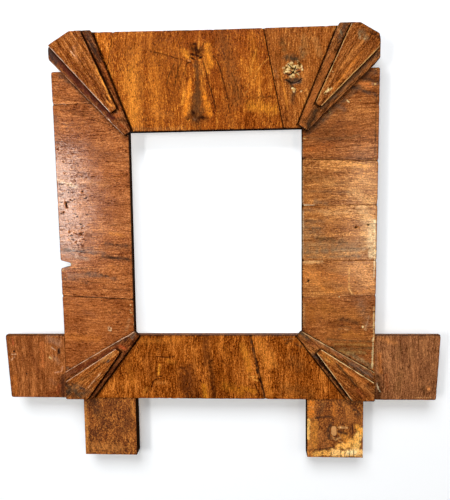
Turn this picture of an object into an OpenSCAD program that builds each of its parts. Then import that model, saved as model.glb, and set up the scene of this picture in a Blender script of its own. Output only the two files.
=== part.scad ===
// Veneered wall mirror frame with crossing members, two side ears, two feet
// and a pair of stacked wedges on each corner. Millimetres.
// X runs to the right, Z up and -Y to the front. The origin is the centre of
// the sight opening, on the back plane of the frame.

/* [Sight opening] */
// Width of the opening, seen from the front
opening_w = 195; // [150:1:260]
// Height of the opening, seen from the front
opening_h = 234; // [190:1:320]

/* [Members] */
// Width of the left upright beside the bottom rail
left_stile_w = 83.3; // [70:0.1:100]
// Width of the right upright beside the bottom rail
right_stile_w = 82; // [70:0.1:100]
// How much wider the left upright's line is at the top rail's upper edge
left_flare = 3.7; // [0:0.1:6]
// How much wider the right upright's line is at the top rail's upper edge
right_flare = 2.2; // [0:0.1:6]
// Width of the top rail
top_rail_w = 108.5; // [95:0.5:130]
// How much wider the top rail is at its left end than in its middle
left_top_rise = 2; // [0:0.1:3]
// How far the top rail's right end stays inside the upright's line
right_end_in = 1.2; // [0:0.1:3]
// Width of the bottom rail
bottom_rail_w = 75.5; // [60:0.5:100]
// Height of the left upright's shoulder above the opening
left_shoulder = 68; // [55:0.5:75]
// Height of the right upright's shoulder above the opening
right_shoulder = 63; // [55:0.5:75]
// Thickness of the softwood ground
ground_t = 16; // [14:0.5:24]
// Thickness of the rails' front tongues, which are also the ears
tongue_t = 6.5; // [4:0.5:7]

/* [Ears and feet] */
// Length of the left ear along its upper edge
left_ear_l = 71.5; // [40:0.5:100]
// Length of the right ear along its upper edge
right_ear_l = 73.5; // [40:0.5:100]
// How much shorter the ears are along their lower edge
ear_taper = 3.8; // [0:0.1:8]
// Length of the feet below the bottom rail
foot_l = 70.5; // [40:0.5:110]
// Width of the left foot
left_foot_w = 62.5; // [45:0.5:66]
// Width of the right foot
right_foot_w = 64.5; // [45:0.5:66]
// How far the left foot stands outside the opening's edge
left_foot_inset = 1.3; // [0:0.1:10]
// How far the right foot stands outside the opening's edge
right_foot_inset = 5.7; // [0:0.1:10]

/* [Top corners] */
// Width and height of the diagonal clip on the top left corner
left_clip = [26, 15.5]; // [8:0.1:35]
// The same on the top right corner
right_clip = [24, 14.3]; // [8:0.1:35]

/* [Veneer] */
// Thickness of the crossbanded veneer on the rails and uprights
veneer_t = 2; // [1:0.1:3]
// Thickness of the veneer on the ears
ear_veneer_t = 1.5; // [0.8:0.1:3]
// Closed seam between two leaves of veneer
seam = 0.4; // [0.2:0.1:0.8]
// Seam that has opened between the middle and right leaves of the top rail
open_seam = 1; // [0.4:0.1:1.5]
// Seams of the left upright above the middle of the opening, top first
left_seams = [149, -74.5]; // [-90:0.5:155]
// How much each of them rises towards the outer edge
left_seam_rises = [0, 4.8]; // [-6:0.1:6]
// Seams of the right upright above the middle of the opening, top first
right_seams = [82.8, 31, -30.5, -72.5]; // [-90:0.5:120]
// How much each of them rises towards the outer edge
right_seam_rises = [-3.3, 0, -0.6, 2]; // [-6:0.1:6]
// Seams of the top rail along its upper edge, from the middle, left one first
top_seams = [-111.7, 55]; // [-115:0.5:100]
// How much further right each of them is at the rail's lower edge
top_seam_runs = [-23, 21.5]; // [-25:0.5:25]
// Seam of the bottom rail along its upper edge, from the middle
bottom_seam = 38.7; // [-60:0.1:60]
// How much further right it is at the rail's lower edge
bottom_seam_run = 16.2; // [-20:0.1:20]

/* [Wedges] */
// Thickness of the lower wedges
base_wedge_t = 5; // [3:0.5:8]
// Thickness of the upper wedges
cap_wedge_t = 4.5; // [3:0.5:8]
// How far the upper wedges stay inside the frame's outer edges
cap_setback = 2; // [0:0.5:4]
// Corner radius of the bottom upper wedges
cap_corner_r = 4; // [1:0.5:8]
// How far the top right wedges stand above the top rail's edge
right_wedge_rise = 1.2; // [0:0.1:3]
// Angles from the vertical of the lower wedges' inner and outer edges: top left
top_left_base_angles = [20.9, 44.1]; // [15:0.1:48]
// The same, top right
top_right_base_angles = [22.4, 45.9]; // [15:0.1:48]
// The same, bottom
bottom_base_angles = [37.2, 59.9]; // [30:0.1:65]
// Angles from the vertical of the upper wedges' inner and outer edges: top left
top_left_cap_angles = [24.4, 42.2]; // [15:0.1:48]
// The same, top right
top_right_cap_angles = [24.8, 45.4]; // [15:0.1:48]
// The same, bottom
bottom_cap_angles = [35.9, 57.1]; // [30:0.1:65]
// How far a lower wedge's blunt tip lies outward from the opening's corner: top left
top_left_base_tip = [0, -2.6]; // [-6:0.1:6]
// The same, top right
top_right_base_tip = [-0.2, -0.5]; // [-6:0.1:6]
// The same, bottom
bottom_base_tip = [-4.4, -3.4]; // [-6:0.1:6]
// How far an upper wedge's blunt tip lies outward from the opening's corner: top left
top_left_cap_tip = [13.9, 21.4]; // [8:0.1:30]
// The same, top right
top_right_cap_tip = [15.8, 22.4]; // [8:0.1:30]
// The same, bottom
bottom_cap_tip = [17.2, 15.6]; // [8:0.1:30]
// Widths of the lower wedges' blunt tips: top left, top right, bottom
base_tip_widths = [9.7, 12.4, 7.8]; // [3:0.1:14]
// Widths of the upper wedges' blunt tips: top left, top right, bottom
cap_tip_widths = [8.4, 7.2, 6.6]; // [3:0.1:10]

/* [Pane rebate] */
// Width of the ledge that carries the mirror pane
rebate_w = 6; // [4:0.5:9]
// Depth of the rebate from the back
rebate_d = 6.5; // [4:0.5:8]

/* [Wear] */
// Height of the nick in the left upright's edge from the middle of the opening
nick_z = -33; // [-60:0.5:60]
// Opening of the nick along the edge
nick_h = 9.5; // [3:0.5:12]
// Depth of the nick
nick_d = 12.5; // [4:0.5:18]

/* [Pegs and plug] */
// Diameter of the pegs that lock the corner laps
peg_d = 6; // [4:0.5:9]
// Gap around the pegs and the plug
peg_gap = 0.1; // [0.05:0.05:0.2]
// Width of the plug in the right foot
plug_w = 6; // [4:0.5:10]
// Height of the plug in the right foot
plug_h = 11.5; // [10.5:0.5:16]
// Depth of the plug
plug_d = 9; // [4:0.5:12]
// Height of the plug's middle above the foot's end
plug_rise = 32; // [15:0.5:55]
// Place of the plug's middle from the foot's inner edge
plug_in = 31; // [12:0.5:32]

/* [Hangers] */
// Distance of each hanger from the middle of the frame
hanger_x = 62; // [30:0.5:110]
// Height of the ring hinge below the top rail's upper edge
hanger_drop = 24; // [18:0.5:30]
// Width of the hanger plate
plate_w = 14; // [11:0.5:18]
// Length of the hanger plate below the ring hinge
plate_l = 36; // [32:0.5:44]
// Thickness of the hanger plate
plate_t = 1.2; // [0.8:0.1:2]
// Thickness of the ring's wire
wire_d = 2.4; // [1.6:0.1:3]
// Width of the ring between the middles of its wires
ring_w = 20; // [18:0.5:26]
// Straight length of the ring's legs
ring_leg = 5; // [2:0.5:8]
// Gap between the ring's legs and the ends of the plate's rolled knuckle
knuckle_gap = 1.8; // [0.3:0.1:2.5]
// Gap between the ring's bar and the knuckle, on the radius
hinge_gap = 0.08; // [0.03:0.01:0.1]

/* [Turn buttons] */
// Height of each turn button above or below the middle of the opening
button_z = 62; // [40:0.5:75]
// Distance from the rebate's side to a button's screw
button_pivot = 12; // [10:0.5:15]
// Width of the buttons
button_w = 11; // [8:0.5:14]
// Thickness of the buttons
button_t = 2.4; // [1.5:0.1:4]
// How far a button reaches over the rebate when it is turned across
button_hold = 5; // [3:0.5:6]
// Gap between a button, the wood and its screw head
button_gap = 0.3; // [0.2:0.05:0.5]

/* [Screws] */
// Diameter of the screw shanks
screw_d = 3.2; // [2.5:0.1:3.6]
// Diameter of the screw heads
head_d = 6.4; // [5:0.1:7.5]
// Height of the screw heads
head_h = 1.6; // [1.2:0.1:2.4]
// Length of the screws in the wood
screw_l = 11; // [6:0.5:12]
// Gap between a screw and its pilot hole, on the radius
pilot_gap = 0.1; // [0.05:0.05:0.2]
// Gap between a button's hole and its screw, on the radius
pivot_gap = 0.08; // [0.03:0.01:0.1]
// Width of the screw slots
slot_w = 0.8; // [0.6:0.1:1]
// Depth of the screw slots
slot_d = 0.7; // [0.4:0.1:0.9]

/* [Hidden] */
$fn = 64;

LEFT = -1;
RIGHT = 1;
UP = 1;
DOWN = -1;
half_w = opening_w / 2;
half_h = opening_h / 2;
top_z = half_h + top_rail_w;
bottom_z = -half_h - bottom_rail_w;
foot_z = bottom_z - foot_l;
// The tongues of the rails lie in front of this plane, those of the uprights behind it
lap_y = tongue_t - ground_t;
front_y = -ground_t;
face_y = front_y - veneer_t;
base_y = face_y - base_wedge_t;
cap_y = base_y - cap_wedge_t;
// Longer than any member, for cuts that run right through
reach = opening_w + opening_h;
// Cuts run past the wood's faces, and shapes that form one piece into each other, by this
past = 1;
// The bottom mitres meet the frame's outer edge this far above its corner
mitre_rise = 2;

hinge_z = top_z - hanger_drop;
knuckle_r = wire_d / 2 + hinge_gap + plate_t;
knuckle_w = ring_w - wire_d - 2 * knuckle_gap;
// The ring clears the screw heads by this much when it hangs down over them
ring_clear = 0.6;
hinge_y = plate_t + head_h + wire_d / 2 + ring_clear;
// The upper hanger screw lies this far below the hinge
upper_screw_drop = 11;
plate_screws = [hinge_z - plate_l + plate_w / 2, hinge_z - upper_screw_drop];
button_x = half_w + rebate_w + button_pivot;
button_l = 2 * (button_pivot + button_hold);
head_y = button_gap + button_t + button_gap;
// Width of a screw head's flat top as a share of its width at the bottom
head_taper = 0.8;

walnut_rail = "#a8622c";
walnut_stile = "#96552c";
walnut_ear = "#85482a";
base_brown = "#5a2f22";
cap_brown = "#9a5d33";
ground_brown = "#7a4c26";
end_pine = "#c9964f";
brass = "#b08d45";
iron = "#4d4844";

function stile_w(s) = s == LEFT ? left_stile_w : right_stile_w;
function flare(s) = s == LEFT ? left_flare : right_flare;
function shoulder_z(s) = half_h + (s == LEFT ? left_shoulder : right_shoulder);
function ear_l(s) = s == LEFT ? left_ear_l : right_ear_l;
function foot_inset(s) = s == LEFT ? left_foot_inset : right_foot_inset;
function foot_w(s) = s == LEFT ? left_foot_w : right_foot_w;
function mean(pair) = (pair[0] + pair[1]) / 2;

// Distance of the upright's outer edge from the middle of the frame at height z
function outer_x(s, z) =
    half_w + stile_w(s) + flare(s) * (z + half_h) / (top_z + half_h);

// Distance of the top rail's end from the middle of the frame at height z
function rail_end(s, z) = outer_x(s, z) - (s == RIGHT ? right_end_in : 0);
function top_rise(s) = s == LEFT ? left_top_rise : 0;
function wedge_rise(s) = s == LEFT ? left_top_rise : right_wedge_rise;

// Direction at an angle from the vertical, going away from the opening
function along(a, v) = [sin(a), v * cos(a)];
function across(a, v) = [cos(a), -v * sin(a)];
function corner(v) = [half_w, v * half_h];
// Which of the three sets of wedge sizes a corner uses
function kind(s, v) = v == DOWN ? 2 : s == LEFT ? 0 : 1;

// The four corners of a wedge before it is trimmed to the frame's edge:
// blunt tip on the inner and outer side, then the far ends of the two long edges
function wedge_points(v, tip, tip_w, angles) =
    let(
        p = corner(v) + [tip[0], v * tip[1]],
        w = across(mean(angles), v) * tip_w / 2
    )
    [p - w, p + w, p + w + reach * along(angles[1], v), p - w + reach * along(angles[0], v)];

function base_angles(s, v) =
    [top_left_base_angles, top_right_base_angles, bottom_base_angles][kind(s, v)];
function base_points(s, v) = wedge_points(
    v, [top_left_base_tip, top_right_base_tip, bottom_base_tip][kind(s, v)],
    base_tip_widths[kind(s, v)], base_angles(s, v));
function cap_points(s, v) = wedge_points(
    v, [top_left_cap_tip, top_right_cap_tip, bottom_cap_tip][kind(s, v)],
    cap_tip_widths[kind(s, v)],
    [top_left_cap_angles, top_right_cap_angles, bottom_cap_angles][kind(s, v)]);

// Where the top lower wedge's outer edge crosses the upright's shoulder
function notch_root(s) =
    let(p = base_points(s, UP)[1], a = base_angles(s, UP)[1])
    p + along(a, UP) * (shoulder_z(s) - p[1]) / cos(a);

module on_side(s) {
    if (s == LEFT) mirror([1, 0, 0]) children();
    else children();
}

// Extrudes an outline drawn in X and Z between two depths
module slab(front, back) {
    translate([0, back, 0])
        rotate([90, 0, 0])
            linear_extrude(back - front)
                children();
}

// Everything on one side of the line through p in direction d, on d's right
module right_of(p, d) {
    n = [d[1], -d[0]];
    polygon([p - reach * d, p + reach * d, p + reach * (d + n), p + reach * (n - d)]);
}

// Frame outlines, drawn for the right-hand side

// A triangle that covers all of the corner beyond the clip's line
module clip_cut(s) {
    clip = s == LEFT ? left_clip : right_clip;
    b = [rail_end(s, top_z), top_z - clip[1]];
    run = [-clip[0], clip[1]];
    polygon([b + 1.5 * run, b - 0.5 * run, b + 1.5 * clip]);
}

module notch_cut(s) {
    root = notch_root(s);
    polygon([
        root,
        root + along(base_angles(s, UP)[1], UP) * stile_w(s),
        root + [stile_w(s), 0]
    ]);
}

// Half of the top rail with its clipped and notched end. The halves overlap
// in the middle.
module top_half(s) {
    difference() {
        polygon([
            [-past, half_h], [rail_end(s, half_h), half_h],
            [rail_end(s, top_z), top_z + top_rise(s)], [0, top_z], [-past, top_z]
        ]);
        clip_cut(s);
        notch_cut(s);
    }
}

// The upright between two heights, or from another inner edge to its outer one
module stile_part(s, low, high, inner = half_w) {
    polygon([
        [inner, low], [outer_x(s, low), low],
        [outer_x(s, high), high], [inner, high]
    ]);
}

// The side of a corner's mitre line that belongs to the upright
module stile_side(s, v) {
    run = [-stile_w(s), bottom_rail_w - mitre_rise];
    d = v == UP ? along(mean(base_angles(s, v)), v) : run / norm(run);
    right_of(corner(v), d);
}

module foot(s, above) {
    translate([half_w + foot_inset(s), foot_z])
        square([foot_w(s), foot_l + above]);
}

// The bottom rail from an inner edge out to the ear's slanted end
module ear(s, inner) {
    end = outer_x(s, -half_h) + ear_l(s);
    polygon([
        [inner, -half_h], [end, -half_h],
        [end - ear_taper, bottom_z], [inner, bottom_z]
    ]);
}

// The nick's broken edges, at shares of its depth and opening
module nick_cut() {
    x = outer_x(LEFT, nick_z);
    polygon([
        [x + nick_d, nick_z + nick_h * 0.7], [x - nick_d * 0.25, nick_z + nick_h * 0.42],
        [x - nick_d, nick_z + nick_h * 0.15], [x - nick_d * 0.92, nick_z - nick_h * 0.28],
        [x - nick_d * 0.3, nick_z - nick_h * 0.4], [x + nick_d, nick_z - nick_h * 0.7]
    ]);
}

// Cuts in the ground, in the part's own frame

module rebate_cut() {
    slab(-rebate_d, past)
        square([opening_w + 2 * rebate_w, opening_h + 2 * rebate_w], center = true);
}

// Runs along Y, through the back plane unless it ends elsewhere
module drill(x, z, r, front, back = past) {
    slab(front, back) translate([x, z]) circle(r);
}

module pilot_holes(points) {
    for (p = points) drill(p[0], p[1], screw_d / 2 + pilot_gap, -screw_l);
}

hanger_points = [for (s = [LEFT, RIGHT]) for (z = plate_screws) [s * hanger_x, z]];
button_points = [for (s = [LEFT, RIGHT]) for (v = [UP, DOWN]) [s * button_x, v * button_z]];

// Two pegs on the diagonal of each lap, a quarter of the way in from its sides
function lap_points(s, v) =
    let(
        low = v == UP ? half_h + rebate_w : bottom_z,
        high = v == UP ? shoulder_z(s) : -half_h - rebate_w,
        x0 = half_w + rebate_w,
        x1 = half_w + stile_w(s)
    )
    [for (t = [0.25, 0.75])
        [s * (x0 + t * (x1 - x0)), v == UP ? high + t * (low - high) : low + t * (high - low)]];
peg_points = [for (s = [LEFT, RIGHT]) for (v = [UP, DOWN]) for (p = lap_points(s, v)) p];

module peg_holes() {
    for (p = peg_points) drill(p[0], p[1], peg_d / 2 + peg_gap, front_y - past);
}

module plug_shape(grow) {
    r = plug_w / 2 + grow;
    straight = plug_h - plug_w;
    translate([half_w + foot_inset(RIGHT) + plug_in, foot_z + plug_rise]) {
        square([2 * r, straight], center = true);
        for (v = [UP, DOWN]) translate([0, v * straight / 2]) circle(r);
    }
}

// Ground: four softwood members, halved into each other at the corners

module top_rail() {
    color(ground_brown)
        difference() {
            slab(front_y, 0)
                for (s = [LEFT, RIGHT]) on_side(s) top_half(s);
            for (s = [LEFT, RIGHT])
                slab(lap_y, past)
                    on_side(s)
                        translate([half_w, half_h - past])
                            square([reach, shoulder_z(s) - half_h + past]);
            rebate_cut();
            peg_holes();
            pilot_holes(hanger_points);
        }
}

module bottom_rail() {
    color(ground_brown)
        difference() {
            union() {
                slab(front_y, 0)
                    translate([-half_w, bottom_z]) square([opening_w, bottom_rail_w]);
                for (s = [LEFT, RIGHT])
                    slab(front_y, lap_y) on_side(s) ear(s, -past);
            }
            rebate_cut();
            peg_holes();
        }
}

module stile(s) {
    color(ground_brown)
        difference() {
            union() {
                slab(front_y, 0) on_side(s) {
                    stile_part(s, -half_h, half_h);
                    foot(s, 0);
                }
                slab(lap_y, 0) on_side(s) {
                    stile_part(s, bottom_z, shoulder_z(s));
                    foot(s, past);
                }
            }
            rebate_cut();
            peg_holes();
            pilot_holes(button_points);
            if (s == LEFT) slab(front_y - past, past) on_side(s) nick_cut();
            else slab(front_y - past, front_y + plug_d) plug_shape(peg_gap);
        }
}

// Veneer: crossbanded leaves on the front, grain across each member

module leaf(tone, t) {
    color(tone) slab(front_y - t, front_y) children();
}

// Face of the top rail; its ends run on under the wedges
module top_face() {
    for (s = [LEFT, RIGHT])
        on_side(s)
            difference() {
                top_half(s);
                intersection() {
                    stile_side(s, UP);
                    translate([0, half_h - past])
                        square([reach, shoulder_z(s) - half_h + past]);
                }
            }
}

// Strip of the top rail's face between two seams, each given by its index,
// or by -1 and 2 for the rail's own ends
module top_strip(first, last) {
    high = top_z + left_top_rise;
    intersection() {
        top_face();
        polygon([
            [seam_x(first, high, 1), high], [seam_x(last, high, -1), high],
            [seam_x(last, half_h, -1), half_h], [seam_x(first, half_h, 1), half_h]
        ]);
    }
}

// Edge of a strip at height z, on the given side of seam i
function seam_x(i, z, side) =
    i < 0 ? -reach : i > 1 ? reach :
    top_seams[i] + top_seam_runs[i] * (top_z - z) / top_rail_w + side * (i == 0 ? seam : open_seam) / 2;

// Strip of an upright's face between two of its seams, counted from the top
module stile_strip(s, i) {
    seams = s == LEFT ? left_seams : right_seams;
    rises = s == LEFT ? left_seam_rises : right_seam_rises;
    x1 = half_w + stile_w(s) + flare(s);
    high = i == 0 ? [reach, reach] : [seams[i - 1], seams[i - 1] + rises[i - 1]] - seam / 2 * [1, 1];
    low = i == len(seams) ? [-reach, -reach] : [seams[i], seams[i] + rises[i]] + seam / 2 * [1, 1];
    on_side(s)
        intersection() {
            stile_part(s, bottom_z, shoulder_z(s));
            translate([seam / 2, 0]) stile_side(s, UP);
            translate([0, seam / 2]) stile_side(s, DOWN);
            polygon([[half_w, low[0]], [x1, low[1]], [x1, high[1]], [half_w, high[0]]]);
        }
}

module left_leaf(i) {
    leaf(walnut_stile, veneer_t)
        difference() {
            stile_strip(LEFT, i);
            on_side(LEFT) nick_cut();
        }
}

module right_leaf(i) {
    leaf(walnut_stile, veneer_t) stile_strip(RIGHT, i);
}

// Strip of the bottom rail's face on one side of its seam
module bottom_strip(s) {
    gap = s * seam / 2;
    intersection() {
        union() {
            for (e = [LEFT, RIGHT])
                on_side(e)
                    difference() {
                        stile_part(e, bottom_z, -half_h, -past);
                        stile_side(e, DOWN);
                    }
        }
        polygon([
            [bottom_seam + gap, -half_h], [bottom_seam + bottom_seam_run + gap, bottom_z],
            [s * reach, bottom_z], [s * reach, -half_h]
        ]);
    }
}

module ear_leaf(s) {
    leaf(walnut_ear, ear_veneer_t)
        on_side(s)
            difference() {
                ear(s, half_w);
                translate([seam, 0]) stile_part(s, bottom_z - past, -half_h + past, 0);
            }
}

// Wedges: two stacked layers on each corner, pointing at the opening

// The frame's own outline around a corner, drawn in by a setback
module corner_field(s, v, setback) {
    z = v == UP ? top_z + wedge_rise(s) - setback : bottom_z + setback;
    x0 = (v == UP ? rail_end(s, 0) : outer_x(s, 0)) - setback;
    x1 = (v == UP ? rail_end(s, z) : outer_x(s, z)) - setback;
    difference() {
        polygon([[0, 0], [x0, 0], [x1, z], [0, z]]);
        if (v == UP) clip_cut(s);
    }
}

module wedge_base(s, v) {
    color(base_brown)
        slab(base_y, face_y)
            on_side(s)
                intersection() {
                    polygon(base_points(s, v));
                    corner_field(s, v, 0);
                }
}

module wedge_cap(s, v) {
    x = outer_x(s, bottom_z) - cap_setback;
    z = bottom_z + cap_setback;
    color(cap_brown)
        slab(cap_y, base_y)
            on_side(s)
                difference() {
                    intersection() {
                        polygon(cap_points(s, v));
                        corner_field(s, v, cap_setback);
                    }
                    if (v == DOWN)
                        difference() {
                            translate([x - cap_corner_r, z - past])
                                square([cap_corner_r + past, cap_corner_r + past]);
                            translate([x - cap_corner_r, z + cap_corner_r])
                                circle(cap_corner_r);
                        }
                }
}

// Pegs, plug and metalwork

module lap_pegs() {
    color(end_pine)
        for (p = peg_points)
            slab(front_y, 0) translate([p[0], p[1]]) circle(d = peg_d);
}

module foot_plug() {
    color(end_pine) slab(front_y, front_y + plug_d) plug_shape(0);
}

// A slotted round-headed screw whose head's underside is at depth y
module screw(x, z, y) {
    translate([x, y, z])
        rotate([-90, 0, 0])
            difference() {
                union() {
                    translate([0, 0, -screw_l - y]) cylinder(d = screw_d, h = screw_l + y);
                    cylinder(d1 = head_d, d2 = head_d * head_taper, h = head_h);
                }
                translate([0, 0, head_h - slot_d / 2 + past / 2])
                    cube([head_d + past, slot_w, slot_d + past], center = true);
            }
}

module hanger_screws() {
    color(iron) for (p = hanger_points) screw(p[0], p[1], plate_t);
}

module button_screws() {
    color(brass) for (p = button_points) screw(p[0], p[1], head_y);
}

module hanger_plate(s) {
    color(brass)
        difference() {
            union() {
                // Flat plate with a round lower end
                slab(0, plate_t) translate([s * hanger_x, plate_screws[0]]) {
                    translate([-plate_w / 2, 0])
                        square([plate_w, plate_l - plate_w / 2 - knuckle_r + plate_t]);
                    circle(d = plate_w);
                }
                // Turned out from the wood, then rolled into the knuckle
                translate([s * hanger_x - knuckle_w / 2, 0, hinge_z - knuckle_r])
                    cube([knuckle_w, hinge_y, plate_t]);
                translate([s * hanger_x, hinge_y, hinge_z])
                    rotate([0, 90, 0]) cylinder(r = knuckle_r, h = knuckle_w, center = true);
            }
            translate([s * hanger_x, hinge_y, hinge_z])
                rotate([0, 90, 0])
                    cylinder(r = wire_d / 2 + hinge_gap, h = knuckle_w + past, center = true);
            for (p = hanger_points)
                drill(p[0], p[1], screw_d / 2 + pilot_gap, -past, plate_t + past);
        }
}

// D-shaped ring hanging down from its straight bar
module hanger_ring(s) {
    color(iron)
        translate([s * hanger_x, hinge_y, hinge_z]) {
            rotate([0, 90, 0]) cylinder(d = wire_d, h = ring_w, center = true);
            for (side = [LEFT, RIGHT])
                translate([side * ring_w / 2, 0, 0]) {
                    sphere(d = wire_d);
                    translate([0, 0, -ring_leg]) cylinder(d = wire_d, h = ring_leg);
                }
            translate([0, 0, -ring_leg])
                rotate([-90, 0, 0])
                    rotate_extrude(angle = 180)
                        translate([ring_w / 2, 0]) circle(d = wire_d);
        }
}

// Rests turned along the upright, clear of the rebate
module turn_button(s, v) {
    straight = button_l - button_w;
    color(brass)
        slab(button_gap, button_gap + button_t)
            translate([s * button_x, v * button_z])
                difference() {
                    union() {
                        square([button_w, straight], center = true);
                        for (e = [UP, DOWN]) translate([0, e * straight / 2]) circle(d = button_w);
                    }
                    circle(screw_d / 2 + pivot_gap);
                }
}

top_rail();
bottom_rail();
stile(LEFT);  // left_stile
stile(RIGHT);  // right_stile
leaf(walnut_rail, veneer_t) top_strip(-1, 0);  // top_veneer_left
leaf(walnut_rail, veneer_t) top_strip(0, 1);  // top_veneer_middle
leaf(walnut_rail, veneer_t) top_strip(1, 2);  // top_veneer_right
left_leaf(0);  // left_veneer_upper
left_leaf(1);  // left_veneer_middle
left_leaf(2);  // left_veneer_lower
right_leaf(0);  // right_veneer_1
right_leaf(1);  // right_veneer_2
right_leaf(2);  // right_veneer_3
right_leaf(3);  // right_veneer_4
right_leaf(4);  // right_veneer_5
leaf(walnut_rail, veneer_t) bottom_strip(LEFT);  // bottom_veneer_left
leaf(walnut_rail, veneer_t) bottom_strip(RIGHT);  // bottom_veneer_right
ear_leaf(LEFT);  // left_ear_veneer
ear_leaf(RIGHT);  // right_ear_veneer
wedge_base(LEFT, UP);  // wedge_base_top_left
wedge_base(RIGHT, UP);  // wedge_base_top_right
wedge_base(LEFT, DOWN);  // wedge_base_bottom_left
wedge_base(RIGHT, DOWN);  // wedge_base_bottom_right
wedge_cap(LEFT, UP);  // wedge_cap_top_left
wedge_cap(RIGHT, UP);  // wedge_cap_top_right
wedge_cap(LEFT, DOWN);  // wedge_cap_bottom_left
wedge_cap(RIGHT, DOWN);  // wedge_cap_bottom_right
lap_pegs();
foot_plug();
hanger_plate(LEFT);  // hanger_plate_left
hanger_plate(RIGHT);  // hanger_plate_right
hanger_ring(LEFT);  // hanger_ring_left
hanger_ring(RIGHT);  // hanger_ring_right
hanger_screws();
turn_button(LEFT, UP);  // turn_button_upper_left
turn_button(RIGHT, UP);  // turn_button_upper_right
turn_button(LEFT, DOWN);  // turn_button_lower_left
turn_button(RIGHT, DOWN);  // turn_button_lower_right
button_screws();
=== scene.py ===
# Old mirror frame, veneered in crossbanded walnut over a softwood ground, with a
# pair of stacked wedges on each corner. Metres; X right, Z up, -Y to the front.
import math
import random

import bmesh
import bpy
import numpy as np
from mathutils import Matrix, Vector, noise
from mathutils.geometry import delaunay_2d_cdt


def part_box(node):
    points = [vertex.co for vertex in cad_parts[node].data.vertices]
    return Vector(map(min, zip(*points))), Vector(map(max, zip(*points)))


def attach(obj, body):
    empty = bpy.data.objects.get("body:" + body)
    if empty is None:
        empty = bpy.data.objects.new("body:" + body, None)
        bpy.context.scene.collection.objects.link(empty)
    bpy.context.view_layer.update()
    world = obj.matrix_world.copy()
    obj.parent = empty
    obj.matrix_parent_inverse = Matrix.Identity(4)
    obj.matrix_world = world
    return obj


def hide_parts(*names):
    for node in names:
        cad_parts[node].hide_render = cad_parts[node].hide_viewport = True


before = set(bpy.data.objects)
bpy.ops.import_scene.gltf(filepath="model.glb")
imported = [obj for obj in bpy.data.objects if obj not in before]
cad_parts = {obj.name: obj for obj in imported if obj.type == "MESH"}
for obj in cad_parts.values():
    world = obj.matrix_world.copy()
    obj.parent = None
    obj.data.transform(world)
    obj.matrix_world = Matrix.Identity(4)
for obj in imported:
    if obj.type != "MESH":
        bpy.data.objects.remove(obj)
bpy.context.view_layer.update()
MM = 0.001

# Camera. The frame was photographed from straight ahead and close by, a little
# to the right of its middle, with the lens tipped slightly down to the left.
camera = bpy.data.objects.new("camera", bpy.data.cameras.new("camera"))
camera.data.sensor_width = 36
camera.data.lens = 33.84
camera.location = (0.0375, -0.5511, 0.0246)
camera.rotation_euler = [math.radians(a) for a in (85.449, 0.748, 2.912)]
bpy.context.scene.collection.objects.link(camera)
bpy.context.scene.camera = camera
bpy.context.scene.view_settings.view_transform = "Standard"

# Wall. The frame hangs on a plain white plastered wall, which it shades softly to
# the right and below. A glow painted on the wall lightens that shade, and more of it is
# painted where the wall is seen through the opening. Light and sight pass through it
# from behind, so that the frame's back can be seen too.
WALL_Y = 8.6 * MM
WALL_REACH = 3
PAINTED_LIGHT_HALF_W = 0.125
PAINTED_LIGHT_HALF_H = 0.145


def linear(colour):
    """An sRGB hex colour as linear red, green, blue and alpha."""
    parts = [int(colour[i:i + 2], 16) / 255 for i in (1, 3, 5)]
    return [c / 12.92 if c <= 0.04045 else ((c + 0.055) / 1.055) ** 2.4 for c in parts] + [1]


def add(tree, kind, inputs=None, ramp=None, **settings):
    """Adds a node. Its inputs are set to values, or linked from nodes or sockets. A ramp is
    given as its two ends, and then the stops between them."""
    node = tree.nodes.new("ShaderNode" + kind)
    for key, value in settings.items():
        setattr(node, key, value)
    for key, value in (inputs or {}).items():
        if isinstance(key, str):
            socket = next(s for s in node.inputs if s.name == key and s.enabled)
        else:
            socket = node.inputs[key]
        if isinstance(value, bpy.types.Node):
            value = next(s for s in value.outputs if s.enabled)
        if isinstance(value, bpy.types.NodeSocket):
            tree.links.new(value, socket)
        else:
            socket.default_value = value
    for i, (place, colour) in enumerate(ramp or []):
        stop = node.color_ramp.elements[i] if i < 2 else node.color_ramp.elements.new(place)
        stop.position = place
        stop.color = linear(colour)
    return node


def new_material(name):
    """A material and its empty node tree."""
    material = bpy.data.materials.new(name)
    material.use_nodes = True
    material.node_tree.nodes.clear()
    return material, material.node_tree


def link_mesh(name, mesh, material):
    """An object with the mesh and the material, put into the scene."""
    piece = bpy.data.objects.new(name, mesh)
    mesh.materials.clear()
    mesh.materials.append(material)
    bpy.context.scene.collection.objects.link(piece)
    return piece


# Plain plaster is matt and nearly white. A painted glow, seen directly and in
# reflections only, lightens the frame's shade on it, most of all inside the opening
white_plaster, tree = new_material("white_plaster")
path = add(tree, "LightPath")
seen = add(tree, "Math", {0: path.outputs["Is Camera Ray"], 1: path.outputs["Is Glossy Ray"]},
           operation="MAXIMUM")
seen = add(tree, "Math", {0: seen, 1: path.outputs["Is Transmission Ray"]}, operation="MAXIMUM")
place = add(tree, "SeparateXYZ", {"Vector": add(tree, "TexCoord").outputs["Object"]})
inside = 1.0
for axis, half in (("X", PAINTED_LIGHT_HALF_W), ("Z", PAINTED_LIGHT_HALF_H)):
    far = add(tree, "Math", {0: place.outputs[axis]}, operation="ABSOLUTE")
    within = add(tree, "Math", {0: far, 1: half}, operation="LESS_THAN")
    inside = add(tree, "Math", {0: inside, 1: within}, operation="MULTIPLY")
# Painted light: the wall glows, and glows more inside the opening, to lighten the frame's shade
glow = add(tree, "MapRange", {"Value": inside, "To Min": 0.17, "To Max": 0.52})
glow = add(tree, "Math", {0: seen, 1: glow}, operation="MULTIPLY")
lit = add(tree, "BsdfDiffuse", {"Color": linear("#f0f4f9")})
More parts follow.
